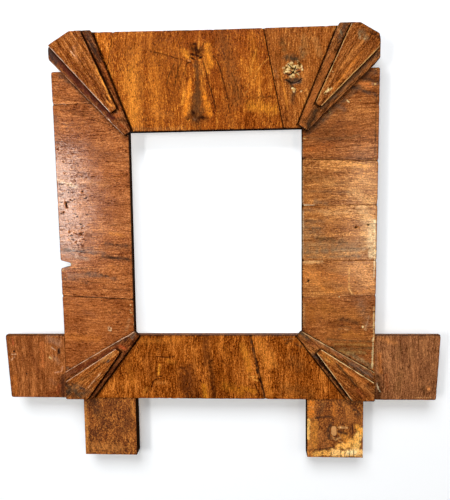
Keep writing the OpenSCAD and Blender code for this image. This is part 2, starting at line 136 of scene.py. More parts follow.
# The painted glow, which no lamp gives
own = add(tree, "Emission", {"Color": linear("#f3f9ff"), "Strength": glow})
front = add(tree, "AddShader", {0: lit, 1: own})
clear = add(tree, "BsdfTransparent")
behind = add(tree, "NewGeometry").outputs["Backfacing"]
add(tree, "OutputMaterial", {"Surface": add(tree, "MixShader", {0: behind, 1: front, 2: clear})})

mesh = bpy.data.meshes.new("wall")
corners = [(x * WALL_REACH, WALL_Y, z * WALL_REACH) for x, z in ((-1, -1), (1, -1), (1, 1), (-1, 1))]
mesh.from_pydata(corners, [], [(0, 1, 2, 3)])
wall = link_mesh("wall", mesh, white_plaster)
wall.visible_shadow = False
wall.visible_diffuse = False

# Light. A dim room with a large soft window high on the left, pale screens around it,
# and two brighter ones that the old polish mirrors: on the left upright, and dimly on
# the right one.
world = bpy.data.worlds.new("dim_room")
bpy.context.scene.world = world
world.use_nodes = True
tree = world.node_tree
seen = add(tree, "LightPath").outputs["Is Camera Ray"]
dim = add(tree, "MapRange", {"Value": seen, "To Min": 0.06, "To Max": 0.85})
tree.nodes["Background"].inputs["Color"].default_value = (1, 1, 1, 1)
tree.links.new(dim.outputs[0], tree.nodes["Background"].inputs["Strength"])


def lamp(name, place, aim, width, height, glow, tone="#ffffff"):
    """A soft pale screen of a given brightness, where 1 is white."""
    light = bpy.data.lights.new(name, "AREA")
    light.shape = "RECTANGLE"
    light.size = width
    light.size_y = height
    light.energy = glow * math.pi * width * height
    light.color = linear(tone)[:3]
    screen = bpy.data.objects.new(name, light)
    screen.location = place
    screen.rotation_euler = (Vector(aim) - Vector(place)).to_track_quat("-Z", "Y").to_euler()
    bpy.context.scene.collection.objects.link(screen)


lamp("window", (-0.45, -2.3, 2.3), (0, 0, 0), 2.0, 1.5, 9.5)
lamp("left_wall", (-1.35, -1.35, 0.35), (0, 0, 0), 0.8, 0.8, 1.5)
lamp("right_wall", (1.35, -1.35, 0.25), (0, 0, 0), 0.8, 0.8, 2.0)
lamp("low_screen", (0.2, -1.3, -1.4), (0, 0, 0), 1.0, 0.7, 1.0)
lamp("left_mirrored", (-0.66, -1.17, 0.066), (-0.1, 0, 0.03), 0.17, 0.375, 25.5, "#fffaf2")
lamp("right_mirrored", (0.46, -1.17, 0.0), (0.1, 0, 0), 0.15, 0.5, 7.5, "#ffe4c4")
lamp("rear_screen", (0.3, 1.5, 0.7), (0, 0, 0), 1.2, 1.2, 5)

# Ground: four softwood boards, halved into each other at the corners and pegged.
# They were stained brown where they show, planed by hand, and are rough and dusty
# at the back. The uprights run on below the frame as its two feet.
FRONT_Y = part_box("left_stile")[0].y
FEET_TOP = -185 * MM
LONGEST_EDGE = 9 * MM
LONGEST_ON_FEET = 1.5 * MM
FLAT_TO = math.radians(0.5)
ARRIS_FROM = math.radians(30)
SHARP_FROM = math.radians(38)
# Directions of the fibres, in degrees from X towards Z
LEVEL = 0
PLUMB = 90


def from_path(p, path):
    """The way to each point from the nearest place on a line of points, or from one point."""
    best = np.full((len(p), 2), 1e9)
    for a, b in zip(path, path[1:] or path):
        a, b = np.array(a, float), np.array(b, float)
        t = np.clip((p - a) @ (b - a) / max((b - a) @ (b - a), 1e-12), 0, 1)
        way = p - a - t[:, None] * (b - a)
        nearer = (way ** 2).sum(1) < (best ** 2).sum(1)
        best[nearer] = way[nearer]
    return best


def ripple(points, layer, size):
    """Smooth noise from -1 to 1 at each point, in waves of a size. No two layers are alike."""
    return np.array([noise.noise(Vector((x, layer, z)) / size) for x, z in points])


def tint(mesh, figure):
    """Paints strokes on a mesh: each is a colour, half a width in mm, a share and a path
    in mm. The colours are stored with their share multiplied in."""
    p = np.array([(v.co.x, v.co.z) for v in mesh.vertices]) / MM
    ragged = 1 + 0.45 * ripple(p, 5, 5) + 0.3 * ripple(p, 6, 1.8)
    patchy = (0.8 + ripple(p, 7, 3.5)).clip(0.2, 1)
    paint = np.zeros((len(p), 4))
    for tone, half, share, path in figure:
        inside = np.clip(1.15 - np.linalg.norm(from_path(p, path), axis=1) * ragged / half, 0, 1)
        inside = (share * patchy * inside * inside * (3 - 2 * inside)).clip(0, 1)[:, None]
        paint += inside * (np.array(linear(tone)) - paint)
    mesh.attributes.new("paint", "FLOAT_COLOR", "POINT").data.foreach_set("color", paint.ravel())


def painted(tree, colour, grain):
    """A colour under the strokes of tint, in which the grain still shows."""
    paint = add(tree, "Attribute", attribute_name="paint")
    bare = add(tree, "Math", {0: 1.0, 1: paint.outputs["Alpha"]}, operation="SUBTRACT")
    colour = add(tree, "VectorMath", {0: colour, "Scale": bare}, operation="SCALE")
    grain = add(tree, "MapRange", {"Value": grain, "From Min": 0.1, "From Max": 0.9,
                                   "To Min": 0.6, "To Max": 1.4})
    strokes = add(tree, "VectorMath", {0: paint.outputs["Color"], "Scale": grain}, operation="SCALE")
    return add(tree, "VectorMath", {0: colour, 1: strokes}, operation="ADD")


def fit(piece, body, node):
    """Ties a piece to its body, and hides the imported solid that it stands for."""
    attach(piece, body)
    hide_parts(node)


def eased_copy(name, node, body, material, ease, uneven=0.0):
    """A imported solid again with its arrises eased. Where it is uneven, its faces are cut
    finer, most of all in front on the feet, and then moved in and out a little."""
    source = bmesh.new()
    source.from_mesh(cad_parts[node].data)
    bmesh.ops.remove_doubles(source, verts=source.verts, dist=0.005 * MM)
    bmesh.ops.dissolve_limit(source, angle_limit=FLAT_TO, verts=source.verts, edges=source.edges)
    sharp = [e for e in source.edges if len(e.link_faces) == 2 and e.calc_face_angle() > ARRIS_FROM]
    bmesh.ops.bevel(source, geom=sharp, offset=ease * MM, offset_type="OFFSET", segments=2,
                    profile=0.5, affect="EDGES", clamp_overlap=True)

    def too_long(edge):
        on_foot = all(v.co.z < FEET_TOP and v.co.y < FRONT_Y + 1 * MM for v in edge.verts)
        return edge.calc_length() > (LONGEST_ON_FEET if on_foot else LONGEST_EDGE)

    if uneven:
        for _ in range(12):
            bmesh.ops.triangulate(source, faces=[f for f in source.faces if len(f.verts) > 4])
            long = [e for e in source.edges if too_long(e)]
            if not long:
                break
            bmesh.ops.subdivide_edges(source, edges=long, cuts=1, use_grid_fill=True)
        source.normal_update()
        for v in source.verts:
            swell = noise.noise(v.co / (9 * MM)) + 0.6 * noise.noise(v.co / (3 * MM)) - 0.5
            v.co += v.normal * (uneven * MM) * swell
    mesh = bpy.data.meshes.new(name)
    source.to_mesh(mesh)
    source.free()
    mesh.shade_smooth()
    mesh.set_sharp_from_angle(angle=SHARP_FROM)
    piece = link_mesh(name, mesh, material)
    fit(piece, body, node)
    return piece


def layered(tree, bent, turn, shift, parts):
    """The sum of noise layers, each drawn out along the fibres: length, width, detail
    and weight. It spreads around a half."""
    total = 0.5 - 0.5 * sum(weight for *_, weight in parts)
    nodes = []
    for long, wide, detail, weight in parts:
        size = (long * MM, min(long, 12) * MM, wide * MM)
        place = add(tree, "Mapping", {"Vector": bent, "Location": (shift,) * 3, "Rotation": turn,
                                      "Scale": size}, vector_type="TEXTURE")
        layer = add(tree, "TexNoise", {"Vector": place, "Scale": 1.0, "Detail": detail, "Roughness": 0.6})
        total = add(tree, "Math", {0: layer, 1: weight, 2: total}, operation="MULTIPLY_ADD")
        nodes.append(layer)
    return total, nodes


def waved(tree, spot, scale, height):
    """Positions bent by slow waves of a given height in mm."""
    sway = add(tree, "TexNoise", {"Vector": spot, "Scale": scale, "Detail": 0.6, "Roughness": 0.4})
    sway = add(tree, "VectorMath", {0: sway.outputs["Color"], 1: (0.5, 0.5, 0.5)}, operation="SUBTRACT")
    return add(tree, "VectorMath", {0: sway, 1: (height * MM,) * 3, 2: spot}, operation="MULTIPLY_ADD")


def pine(name, fibre):
    """Brown-stained softwood with a rough, dirty skin, bare and paler at the back. fibre is
    its direction from X towards Z, in degrees."""
    material, tree = new_material(name)
    spot = add(tree, "TexCoord").outputs["Object"]
    turn = (0, -math.radians(fibre), 0)
    bent = waved(tree, spot, 18.0, 5)
    grain, _ = layered(tree, bent, turn, 0.0, [(26, 5, 4.0, 0.8), (5, 2.0, 3.0, 1.5), (1.6, 1.3, 1.0, 2.2)])
    stained = add(tree, "ValToRGB", {"Fac": grain}, ramp=[(0.08, "#481f06"), (0.92, "#cb8236"),
                                                          (0.36, "#7e4012"), (0.62, "#9a551f")])
    dirt = add(tree, "TexNoise", {"Vector": spot, "Scale": 60.0, "Detail": 5.0, "Roughness": 0.65})
    soiled = add(tree, "ValToRGB", {"Fac": dirt}, ramp=[(0.40, "#6b5c50"), (0.56, "#ffffff")])
    stained = add(tree, "Mix", {"Factor": 0.35, "A": stained, "B": soiled}, data_type="RGBA",
                  blend_type="MULTIPLY")
    stained = painted(tree, stained, grain)
    # The back is dry and dusty: straight pale grain, with few stains
    straight, _ = layered(tree, bent, turn, 0.3, [(180, 5, 3.0, 2.2), (60, 1.6, 2.0, 1.3),
                                                  (14, 1.0, 1.0, 0.8)])
    bare = add(tree, "ValToRGB", {"Fac": straight}, ramp=[(0.1, "#6e4c2b"), (0.9, "#c49c68")])
    bare = add(tree, "Mix", {"Factor": 0.22, "A": bare, "B": soiled}, data_type="RGBA",
               blend_type="MULTIPLY")
    place = add(tree, "SeparateXYZ", {"Vector": spot})
    facing = add(tree, "SeparateXYZ", {"Vector": add(tree, "NewGeometry").outputs["Normal"]})
    deep = add(tree, "MapRange", {"Value": place.outputs["Y"], "From Min": -7.5 * MM, "From Max": -1 * MM})
    behind = add(tree, "MapRange", {"Value": facing.outputs["Y"], "From Min": 0.5, "From Max": 0.9})
    back = add(tree, "Math", {0: deep, 1: behind}, operation="MAXIMUM")
    colour = add(tree, "Mix", {"Factor": back, "A": stained, "B": bare}, data_type="RGBA")
    # Old dirt and painted shade blacken the narrow sides, less where they face upwards to the light
    aside = add(tree, "Math", {0: facing.outputs["Y"]}, operation="ABSOLUTE")
    above = add(tree, "MapRange", {"Value": facing.outputs["Z"], "From Min": 0.5, "From Max": 0.9,
                                   "To Min": 0.95, "To Max": 0.45})
    aside = add(tree, "MapRange", {"Value": aside, "From Min": 0.85, "From Max": 0.3, "To Max": above})
    # Glue and dirt have made the wood under the veneer as dark, where its seams show it
    glued = add(tree, "MapRange", {"Value": place.outputs["Z"], "From Min": -191 * MM, "From Max": -188 * MM,
                                   "To Max": 0.9})
    faced = add(tree, "MapRange", {"Value": facing.outputs["Y"], "From Min": -0.7, "From Max": -0.9})
    glued = add(tree, "Math", {0: glued, 1: faced}, operation="MULTIPLY")
    dark = add(tree, "Math", {0: aside, 1: glued}, operation="MAXIMUM")
    # Near black for glue and dirt, and for painted shade on the narrow sides
    dark_dirt_and_shade = add(tree, "BsdfDiffuse", {"Color": linear("#1d0f06")})
    skin = add(tree, "Bump", {"Height": grain, "Distance": 0.4 * MM, "Strength": 0.8})
    wood = add(tree, "BsdfPrincipled", {"Base Color": colour, "Roughness": 0.72, "IOR": 1.5, "Normal": skin,
                                        "Specular IOR Level": 0.2})
    add(tree, "OutputMaterial", {"Surface": add(tree, "MixShader", {0: dark, 1: wood, 2: dark_dirt_and_shade})})
    return material


# Worn pale places, dirt, scratches and cracks on the fronts of the two feet, and a painted shadow under the
# left wedge
feet_figure = [
    ("#c27a33", 3, 0.8, [(-103, -197), (-102, -214)]), ("#b06a2a", 2.2, 0.6, [(-103, -226), (-102, -240)]),
    ("#c07c38", 4, 0.9, [(-160, -200), (-160, -262)]), ("#b87434", 8, 0.8, [(-150, -254), (-122, -255)]),
    ("#5e3012", 6, 0.5, [(-140, -222), (-128, -226)]), ("#5a2d10", 7, 0.5, [(-116, -234), (-110, -222)]),
    # The dark patch at the top of the left foot is the painted shadow of the wedge above it
    ("#5e3012", 5, 0.5, [(-152, -234), (-144, -240)]), ("#4e2a12", 7, 0.9, [(-148, -197), (-146, -210)]),
    ("#c47c34", 5, 1, [(106, -196), (106, -262)]), ("#f6be64", 2.4, 1.8, [(104.5, -218), (104.5, -240)]),
    ("#cc7624", 4.6, 1.5, [(108, -197), (108, -212)]), ("#d99450", 1, 0.9, [(107, -202), (111, -203)]),
    ("#bd6e26", 3, 1.1, [(134, -197), (134, -212)]), ("#6a4424", 5, 0.6, [(122, -200), (118, -208)]),
    ("#3c2210", 1.8, 1.2, [(113, -215), (122, -214), (131, -214)]),
    ("#ae6a2c", 6, 0.9, [(146, -198), (154, -216)]), ("#54361e", 4, 0.9, [(158, -206), (163, -212)]),
    ("#5a3a20", 1.4, 0.7, [(150, -198), (164, -196)]), ("#a0622e", 8, 0.7, [(118, -236), (124, -248)]),
    ("#c07a2c", 5, 1.1, [(112, -222), (112, -248)]), ("#c88030", 6, 1.1, [(146, -236), (152, -244)]),
    ("#9a5a26", 5, 0.7, [(138, -217), (162, -218)]),
    ("#3c2414", 2.6, 1.2, [(130, -223), (127, -230), (129, -240)]),
    ("#e8b878", 0.9, 1.3, [(139, -226.5), (150, -226.5)]), ("#4a2810", 2, 1.1, [(140, -232), (149, -234)]),
    ("#341808", 0.9, 1.2, [(145.5, -233.5), (148, -233.5)]),
    ("#dcaa68", 1.6, 1, [(132, -239), (136, -241), (141, -239)]),
    ("#dcaa68", 1, 0.9, [(141, -243), (145, -246)]), ("#3a1e0c", 0.9, 1.2, [(155.5, -245), (155.5, -224)]),
    ("#4a2a12", 1.2, 1, [(112, -254), (126, -253), (134, -250)]),
    ("#fbc064", 5, 2.2, [(158, -252), (165, -230)]),
    ("#f6b254", 4, 2, [(140, -250), (152, -247), (160, -240)]),
    ("#eeac50", 4, 1.8, [(112, -259), (140, -256)]), ("#ffc878", 5, 2.2, [(134, -258), (165, -257)]),
    ("#ffe4a4", 3, 1.8, [(151, -257), (159, -256)]), ("#f0a440", 3.4, 1.5, [(161, -225), (165, -232)]),
    ("#5a3414", 0.8, 1.3, [(142, -262), (142, -254)]), ("#4a2a10", 0.7, 1.3, [(146.5, -262), (147, -256)]),
    ("#3a1e0c", 0.8, 1.3, [(152, -262), (152, -252)]), ("#5a3414", 0.8, 1.2, [(157, -262), (157, -255)]),
    ("#6a3c16", 0.8, 1.1, [(131, -262), (131, -257)]), ("#6a3c16", 0.8, 1, [(120, -262), (120, -257)]),
]
rail_pine = pine("stained_pine_rails", LEVEL)
upright_pine = pine("stained_pine_uprights", PLUMB)
for node, wood in (("top_rail", rail_pine), ("bottom_rail", rail_pine),
                   ("left_stile", upright_pine), ("right_stile", upright_pine)):
    member = eased_copy("ground_" + node, node, "frame", wood, 0.7, uneven=0.12)
    tint(member.data, feet_figure)

# Veneer of the rails and uprights: saw-cut walnut, 2 mm thick, laid with its fibres
# across each member and polished. Its arrises are worn round, its pores are open,
# and it has chips, worm holes and shrinkage cracks.
LEAF_STEP = 1.6 * MM
POINT_GRID = 1.7 * MM
SEAM_REACH = 1.3 * MM
SEAM_CLEAN = 0.9 * MM
CREASE_FROM = math.radians(50)
BITE_CHANCE = 0.03
# In mm: how far a face warps, and half the width under which a stroke gets closer points
WARP = 0.1
THIN_STROKE = 2.2


def face_loop(node):
    """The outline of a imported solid's flat front face, counterclockwise from the front."""
    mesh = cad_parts[node].data
    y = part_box(node)[0].y
    edges = {}
    for face in mesh.polygons:
        corners = [mesh.vertices[i].co for i in face.vertices]
        if all(abs(c.y - y) < 0.01 * MM for c in corners):
            keys = [(round(c.x, 6), round(c.z, 6)) for c in corners]
            if face.normal.y > 0:
                keys.reverse()
            edges.update(dict.fromkeys(zip(keys, keys[1:] + keys[:1])))
    step = dict(edge for edge in edges if edge[::-1] not in edges)
    loop = [next(iter(step))]
    while step[loop[-1]] != loop[0]:
        loop.append(step[loop[-1]])
    return loop


def rounded_loop(node, rounds=2):
    """The outline of a solid's front face cut into short steps, its corners rubbed round."""
    loop = face_loop(node)
    points = []
    for (ax, az), (bx, bz) in zip(loop, loop[1:] + loop[:1]):
        n = max(1, round(math.hypot(bx - ax, bz - az) / LEAF_STEP))
        points += [(ax + (bx - ax) * i / n, az + (bz - az) * i / n) for i in range(n)]
    p = np.array(points)
    for _ in range(rounds):
        p = p * 0.5 + (np.roll(p, 1, 0) + np.roll(p, -1, 0)) * 0.25
    return p


def inward_of(p):
    """The direction into the outline at each of its points."""
    ahead = np.roll(p, -1, 0) - np.roll(p, 1, 0)
    ahead /= np.linalg.norm(ahead, axis=1)[:, None] + 1e-12
    return np.stack([-ahead[:, 1], ahead[:, 0]], 1)


def frayed(p, ragged, seed):
    """The outline with its line frayed, and with a bite out of it here and there."""
    rng = random.Random(seed)
    inset = np.maximum(0, ripple(p, 0, 4 * MM) + 0.7 * ripple(p, 1, 1.6 * MM) + 0.15) * ragged
    for i in range(len(p)):
        if rng.random() < BITE_CHANCE:
            wide, deep = rng.uniform(0.8, 2.6), rng.uniform(1.0, 3.2)
            for k in range(-4, 5):
                inset[(i + k) % len(p)] += deep * ragged * max(0, 1 - abs(k) / wide)
    return p + inward_of(p) * inset[:, None]


def holds(loop, p):
    """Which points lie inside the loop."""
    inside = np.zeros(len(p), bool)
    for (ax, az), (bx, bz) in zip(loop, np.roll(loop, -1, 0)):
        if az != bz:
            cross = (az > p[:, 1]) != (bz > p[:, 1])
            inside ^= cross & (p[:, 0] < (bx - ax) * (p[:, 1] - az) / (bz - az) + ax)
    return inside


def strewn(front, rng):
    """Points in loose staggered rows over the outline's whole width and height."""
    (left, low), (right, high) = front.min(0), front.max(0)
    points = []
    row, z = 0, low
    while z < high:
        x = left + (row % 2) * POINT_GRID / 2
        while x < right:
            points.append((x + rng.uniform(-0.3, 0.3) * POINT_GRID, z + rng.uniform(-0.3, 0.3) * POINT_GRID))
            x += POINT_GRID
        row, z = row + 1, z + POINT_GRID * 0.87
    return points


def crowded(path, half, reach, rng):
    """Closer points around a mark or a thin stroke, so that the mesh can show it."""
    fine = max(0.35, half / 3.5)
    points = []
    for (ax, az), (bx, bz) in zip(path, path[1:] or path):
        steps = max(1, int(math.hypot(bx - ax, bz - az) / (fine * 2)))
        share = 3 if steps < 2 else 0.6
        for i in range(steps + 1):
            cx, cz = ax + (bx - ax) * i / steps, az + (bz - az) * i / steps
            for _ in range(int((reach / fine) ** 2 * share) + 4):
                r, t = reach * math.sqrt(rng.random()), rng.uniform(0, 6.283)
                points.append(((cx + r * math.cos(t)) * MM, (cz + r * math.sin(t)) * MM))
    return points


def sifted(inner, close, front, seam):
    """The points inside the front's outline that aren't too near it, and how far each is
    from it. A seam counts as further off."""
    points = np.vstack([inner, close])
    least = np.repeat([0.88 * MM, 0.5 * MM], [len(inner), len(close)])
    kept = holds(front, points)
    points, least = points[kept], least[kept]
    away = np.full(len(points), 1e9)
    rim = away.copy()
    for q, flush in zip(front[::2], seam[::2]):
        gap = np.hypot(*(points - q).T)
        away = np.minimum(away, gap)
        rim = np.minimum(rim, gap + SEAM_CLEAN * flush)
    return points[away > least], rim[away > least]


def filled(points, count):
    """Triangles between the points, inside the outline made by the first count of them."""
    outline = [(i, (i + 1) % count) for i in range(count)]
    found, _, faces, _, _, _ = delaunay_2d_cdt([Vector(q) / MM for q in points], outline, [], 1, 1e-4)
    return np.array([tuple(v) for v in found]) * MM, faces


def carve(depth, flat, marks):
    """Deepens the face where the marks are cut, in mm, and says how black (with painted shade
    and dirt) and how raw that leaves each point."""
    pit = np.zeros(len(flat))
    raw = np.zeros(len(flat))
    for kind, path, half, deep in marks:
        near = np.linalg.norm(from_path(flat / MM, path), axis=1)
        if kind == "chip":
            near = near * (1 + 0.75 * ripple(flat, 3, 1.7 * MM))
        cut = np.clip(1.25 - near / half, 0, 1)
        if kind == "chip":
            depth += deep * cut
            raw = np.maximum(raw, np.clip(cut * 3, 0, 1))
        else:
            depth += deep * cut ** 0.5
            pit = np.maximum(pit, np.clip(cut * 4, 0, 1))
    return pit, raw


def soil_and_shade_beside(flat, above):
    """How dark a face is painted beside the boards that lie on it, for dirt and shade, most on the side of
    an angle.
    """
    soil_and_shade = np.zeros(len(flat))
    for other, angle in above:
        outline = np.array(face_loop(other)) / MM
        way = from_path(flat / MM, list(outline) + [outline[0]])
        near = np.linalg.norm(way, axis=1) + 1e-9
        towards = way @ [math.cos(math.radians(angle)), math.sin(math.radians(angle))] / near
        near[holds(outline, flat / MM)] = 0
        soil_and_shade = np.maximum(soil_and_shade, np.clip(1.7 - near / 1.5, 0, 1) * np.clip(0.45 + 0.75 * towards, 0.25, 1))
    return soil_and_shade


# Front outlines of all leaves, by which they find their seams
leaf_loops = {node: np.array(face_loop(node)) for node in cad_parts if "veneer" in node}


def trimmed(node, ease, ragged, tight, rounds, seed):
    """A board's worn outline, the way into it at each point, which points lie on a seam and
    how wide the rounding is. Leaves meet flush, with little rounding at their seams."""
    loop = frayed(rounded_loop(node, rounds), ragged * MM, seed)
    inward = inward_of(loop)
    seam = np.zeros(len(loop), bool)
    for other, outline in leaf_loops.items():
        if other != node and node in leaf_loops:
            seam |= holds(outline, loop - inward * SEAM_REACH)
    softness = (0.8 + 0.5 * ripple(loop, 2, 7 * MM)) * ease * MM
    softness[seam] *= 0.3
    loop[seam] -= inward[seam] * tight * MM
    return loop, inward, seam, softness


def faced(loop, inward, seam, softness, marks, figure, above, rng):
    """The points of a board's front face, its triangles, and how far each point is from
    the arris. The points lie closer where there is something fine to show."""
    front = loop + inward * softness[:, None]
    inner = strewn(front, rng)
    for kind, path, half, _ in marks:
        inner += crowded(path, half, half * (2.2 if kind == "chip" else 1.5), rng)
    for _, half, _, path in figure:
        if half < THIN_STROKE:
            inner += crowded(path, half, half * 1.4, rng)
    # Rows of points along the arris and the boards above keep the lines there crisp
    rows = [front + inward * 0.7 * MM]
    for other, _ in above:
        outline = rounded_loop(other)
        rows += [outline - inward_of(outline) * reach * MM for reach in (0.2, 1.1, 2.5)]
    inner, rim = sifted(inner, np.vstack(rows), front, seam)
    flat, faces = filled(np.vstack([front, inner]), len(loop))
    rim = np.concatenate([softness + SEAM_CLEAN * seam, rim])[:len(flat)]
    return flat, faces, rim


def rub_of(loop, inward, rubbed):
    """How pale the arris is rubbed at each point of the outline."""
    facing = np.degrees(np.arctan2(-inward[:, 1], -inward[:, 0]))
    rub = np.zeros(len(loop))
    for angle, share in rubbed:
        rub = np.maximum(rub, share * (np.cos(np.radians(facing - angle)) > 0.9))
    return rub * (0.85 + 0.9 * ripple(loop, 4, 6 * MM))


def board_mesh(name, node, loop, inward, softness, flat, depth, faces):
    """The mesh of a board: rings of points for its side and its rounding, then its face."""
    low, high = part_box(node)
    count = len(loop)
    rings = ((0, np.full(count, high.y)), (0, low.y + softness), (0.3, low.y + softness * 0.3))
    points = []
    for inset, depths in rings:
        line = loop + inward * (softness * inset)[:, None]
        points += [(x, y, z) for (x, z), y in zip(line, depths)]
    points += [(x, low.y + d * MM, z) for (x, z), d in zip(flat, depth)]
    start = len(rings) * count
    sheets = [(r + i, r + (i + 1) % count, r + count + (i + 1) % count, r + count + i)
              for r in range(0, start, count) for i in range(count)]
    sheets += [tuple(start + i for i in face) for face in faces]
    sheets += [tuple(reversed(face)) for face in filled(loop, count)[1]]
    mesh = bpy.data.meshes.new(name)
    mesh.from_pydata(points, [], sheets)
    return mesh


def note(mesh, title, *parts):
    """Stores a value at each point of a mesh, for its material."""
    values = np.concatenate(parts).astype(np.float32)
    mesh.attributes.new(title, "FLOAT", "POINT").data.foreach_set("value", values)


def board(name, node, material, seed, ease=0.5, ragged=0.12, marks=(), figure=(), above=(),
          rubbed=(), tight=0.0, rounds=2):
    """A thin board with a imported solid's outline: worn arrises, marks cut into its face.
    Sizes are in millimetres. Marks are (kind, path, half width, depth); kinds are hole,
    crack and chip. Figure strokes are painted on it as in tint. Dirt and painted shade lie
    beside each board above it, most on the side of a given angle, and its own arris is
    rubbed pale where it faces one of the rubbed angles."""
    loop, inward, seam, softness = trimmed(node, ease, ragged, tight, rounds, seed)
    flat, faces, rim = faced(loop, inward, seam, softness, marks, figure, above, random.Random(seed))
    front_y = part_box(node)[0].y
    depth = WARP * (0.5 + ripple(flat, front_y, 38 * MM) + 0.35 * ripple(flat, front_y, 11 * MM))
    pit, raw = carve(depth, flat, marks)
    count = len(loop)
    depth[:count] = np.minimum(depth[:count], ease * 0.8)
    mesh = board_mesh(name, node, loop, inward, softness, flat, depth, faces)
    sides = np.zeros(3 * count)
    note(mesh, "rim", sides, rim / MM)
    note(mesh, "pit", sides, pit)
    note(mesh, "raw", sides, raw)
    # Dirt and painted shade beside the boards above
    note(mesh, "soil_and_shade", sides, soil_and_shade_beside(flat, above))
    note(mesh, "side", np.repeat([1, 0.9, 0], count), np.zeros(len(flat)))
    rub = rub_of(loop, inward, rubbed)
    shares = [(rub * share).clip(0, 1) for share in (0, 0.6, 1, 0.6)]
    note(mesh, "rub", *shares, np.zeros(len(flat) - count))
    tint(mesh, figure)
    mesh.shade_smooth()
    mesh.set_sharp_from_angle(angle=CREASE_FROM)
    fit(link_mesh(name, mesh, material), "frame", node)


def grown(tree, bent, turn, shift, tones, band, contrast):
    """The colour of bare walnut, and the noise that its fibres follow. The colour has growth
    rings, streaks, fibres drawn 1 mm wide to show, soft clouds, a fine mottle and strokes."""
    tone, (rings, _, hair, _, _) = layered(tree, bent, turn, shift, [
        (130, band, 4.0, 1.1 * contrast), (34, 1.6, 3.0, 1.1 * contrast), (8, 1.0, 2.0, 1.6 * contrast),
        (42, 28, 3.0, 1.0 * contrast), (1.6, 1.1, 1.0, 1.7 * contrast)])
    colour = add(tree, "ValToRGB", {"Fac": tone}, ramp=[(0.04, tones[0]), (0.96, tones[3]),
                                                        (0.36, tones[1]), (0.64, tones[2])])
    # A ring now and then ends in a thin dark line
    edge = add(tree, "Math", {0: rings, 1: 0.545}, operation="SUBTRACT")
    edge = add(tree, "Math", {0: edge}, operation="ABSOLUTE")
    edge = add(tree, "MapRange", {"Value": edge, "From Min": 0.016, "From Max": 0.004, "To Max": 0.55})
    colour = add(tree, "Mix", {"Factor": edge, "A": colour, "B": linear(tones[0])}, data_type="RGBA")
    return painted(tree, colour, tone), hair


def pored(tree, colour, moved, bent, turn, open_pores):
    """The colour with open pores and pale specks, and where the pores are. They are drawn
    0.7 mm wide to show, and are thick in some places and sparse in others."""
    place = add(tree, "Mapping", {"Vector": bent, "Rotation": turn, "Scale": (2.6 * MM, 2 * MM, 0.7 * MM)},
                vector_type="TEXTURE")
    pores = add(tree, "TexNoise", {"Vector": place, "Scale": 1.0, "Detail": 1.0})
    thick = add(tree, "TexNoise", {"Vector": moved, "Scale": 45.0, "Detail": 2.0})
    pores = add(tree, "Math", {0: thick, 1: 0.35, 2: pores}, operation="MULTIPLY_ADD")
    pore = add(tree, "MapRange", {"Value": pores, "From Min": 0.77, "From Max": 0.86, "To Max": open_pores})
    dark = add(tree, "Mix", {"Factor": 1.0, "A": colour, "B": linear("#7c5238")}, data_type="RGBA",
               blend_type="MULTIPLY")
    colour = add(tree, "Mix", {"Factor": pore, "A": colour, "B": dark}, data_type="RGBA")
    speck = add(tree, "TexNoise", {"Vector": moved, "Scale": 620.0, "Detail": 1.0})
    speck = add(tree, "Math", {0: thick, 1: -0.3, 2: speck}, operation="MULTIPLY_ADD")
    speck = add(tree, "MapRange", {"Value": speck, "From Min": 0.55, "From Max": 0.62, "To Max": 0.9})
    speck = add(tree, "Math", {0: speck, 1: 1.0}, operation="ADD")
    return add(tree, "VectorMath", {0: colour, "Scale": speck}, operation="SCALE"), pore


def noted(tree, *titles):
    """What the meshes have stored under each title with note."""
    return [add(tree, "Attribute", attribute_name=title).outputs["Fac"] for title in titles]


def dirtied(tree, colour, grime, worn_lip, rubbed):
    """The colour with its arrises rubbed pale, and how thick matt dark lies: dirt along the
    arris, dirt and painted shade beside the boards above, but not where it is rubbed, and
    dirt all over the sides."""
    rim, soil_and_shade, rub, side = noted(tree, "rim", "soil_and_shade", "rub", "side")
    near = add(tree, "Math", {0: grime, 1: 1.6, 2: 0.1}, operation="MULTIPLY_ADD")
    near = add(tree, "Math", {0: near, 1: rim}, operation="SUBTRACT")
    dirt = add(tree, "MapRange", {"Value": near, "From Min": -0.3, "From Max": 0.5, "To Max": worn_lip})
    # Dirt and painted shade beside the boards above
    reach = add(tree, "Math", {0: grime, 1: 0.7, 2: 0.7}, operation="MULTIPLY_ADD")
    reach = add(tree, "Math", {0: reach, 1: soil_and_shade}, operation="MULTIPLY", use_clamp=True)
    dirt = add(tree, "Math", {0: dirt, 1: reach}, operation="MAXIMUM")
    pale = add(tree, "Math", {0: grime, 1: 1.4, 2: 0.4}, operation="MULTIPLY_ADD")
    pale = add(tree, "Math", {0: pale, 1: rub}, operation="MULTIPLY", use_clamp=True)
    dirt = add(tree, "Math", {0: dirt, 1: pale}, operation="SUBTRACT", use_clamp=True)
    dirt = add(tree, "Math", {0: dirt, 1: side}, operation="MAXIMUM")
    return add(tree, "Mix", {"Factor": pale, "A": colour, "B": linear(rubbed)}, data_type="RGBA"), dirt


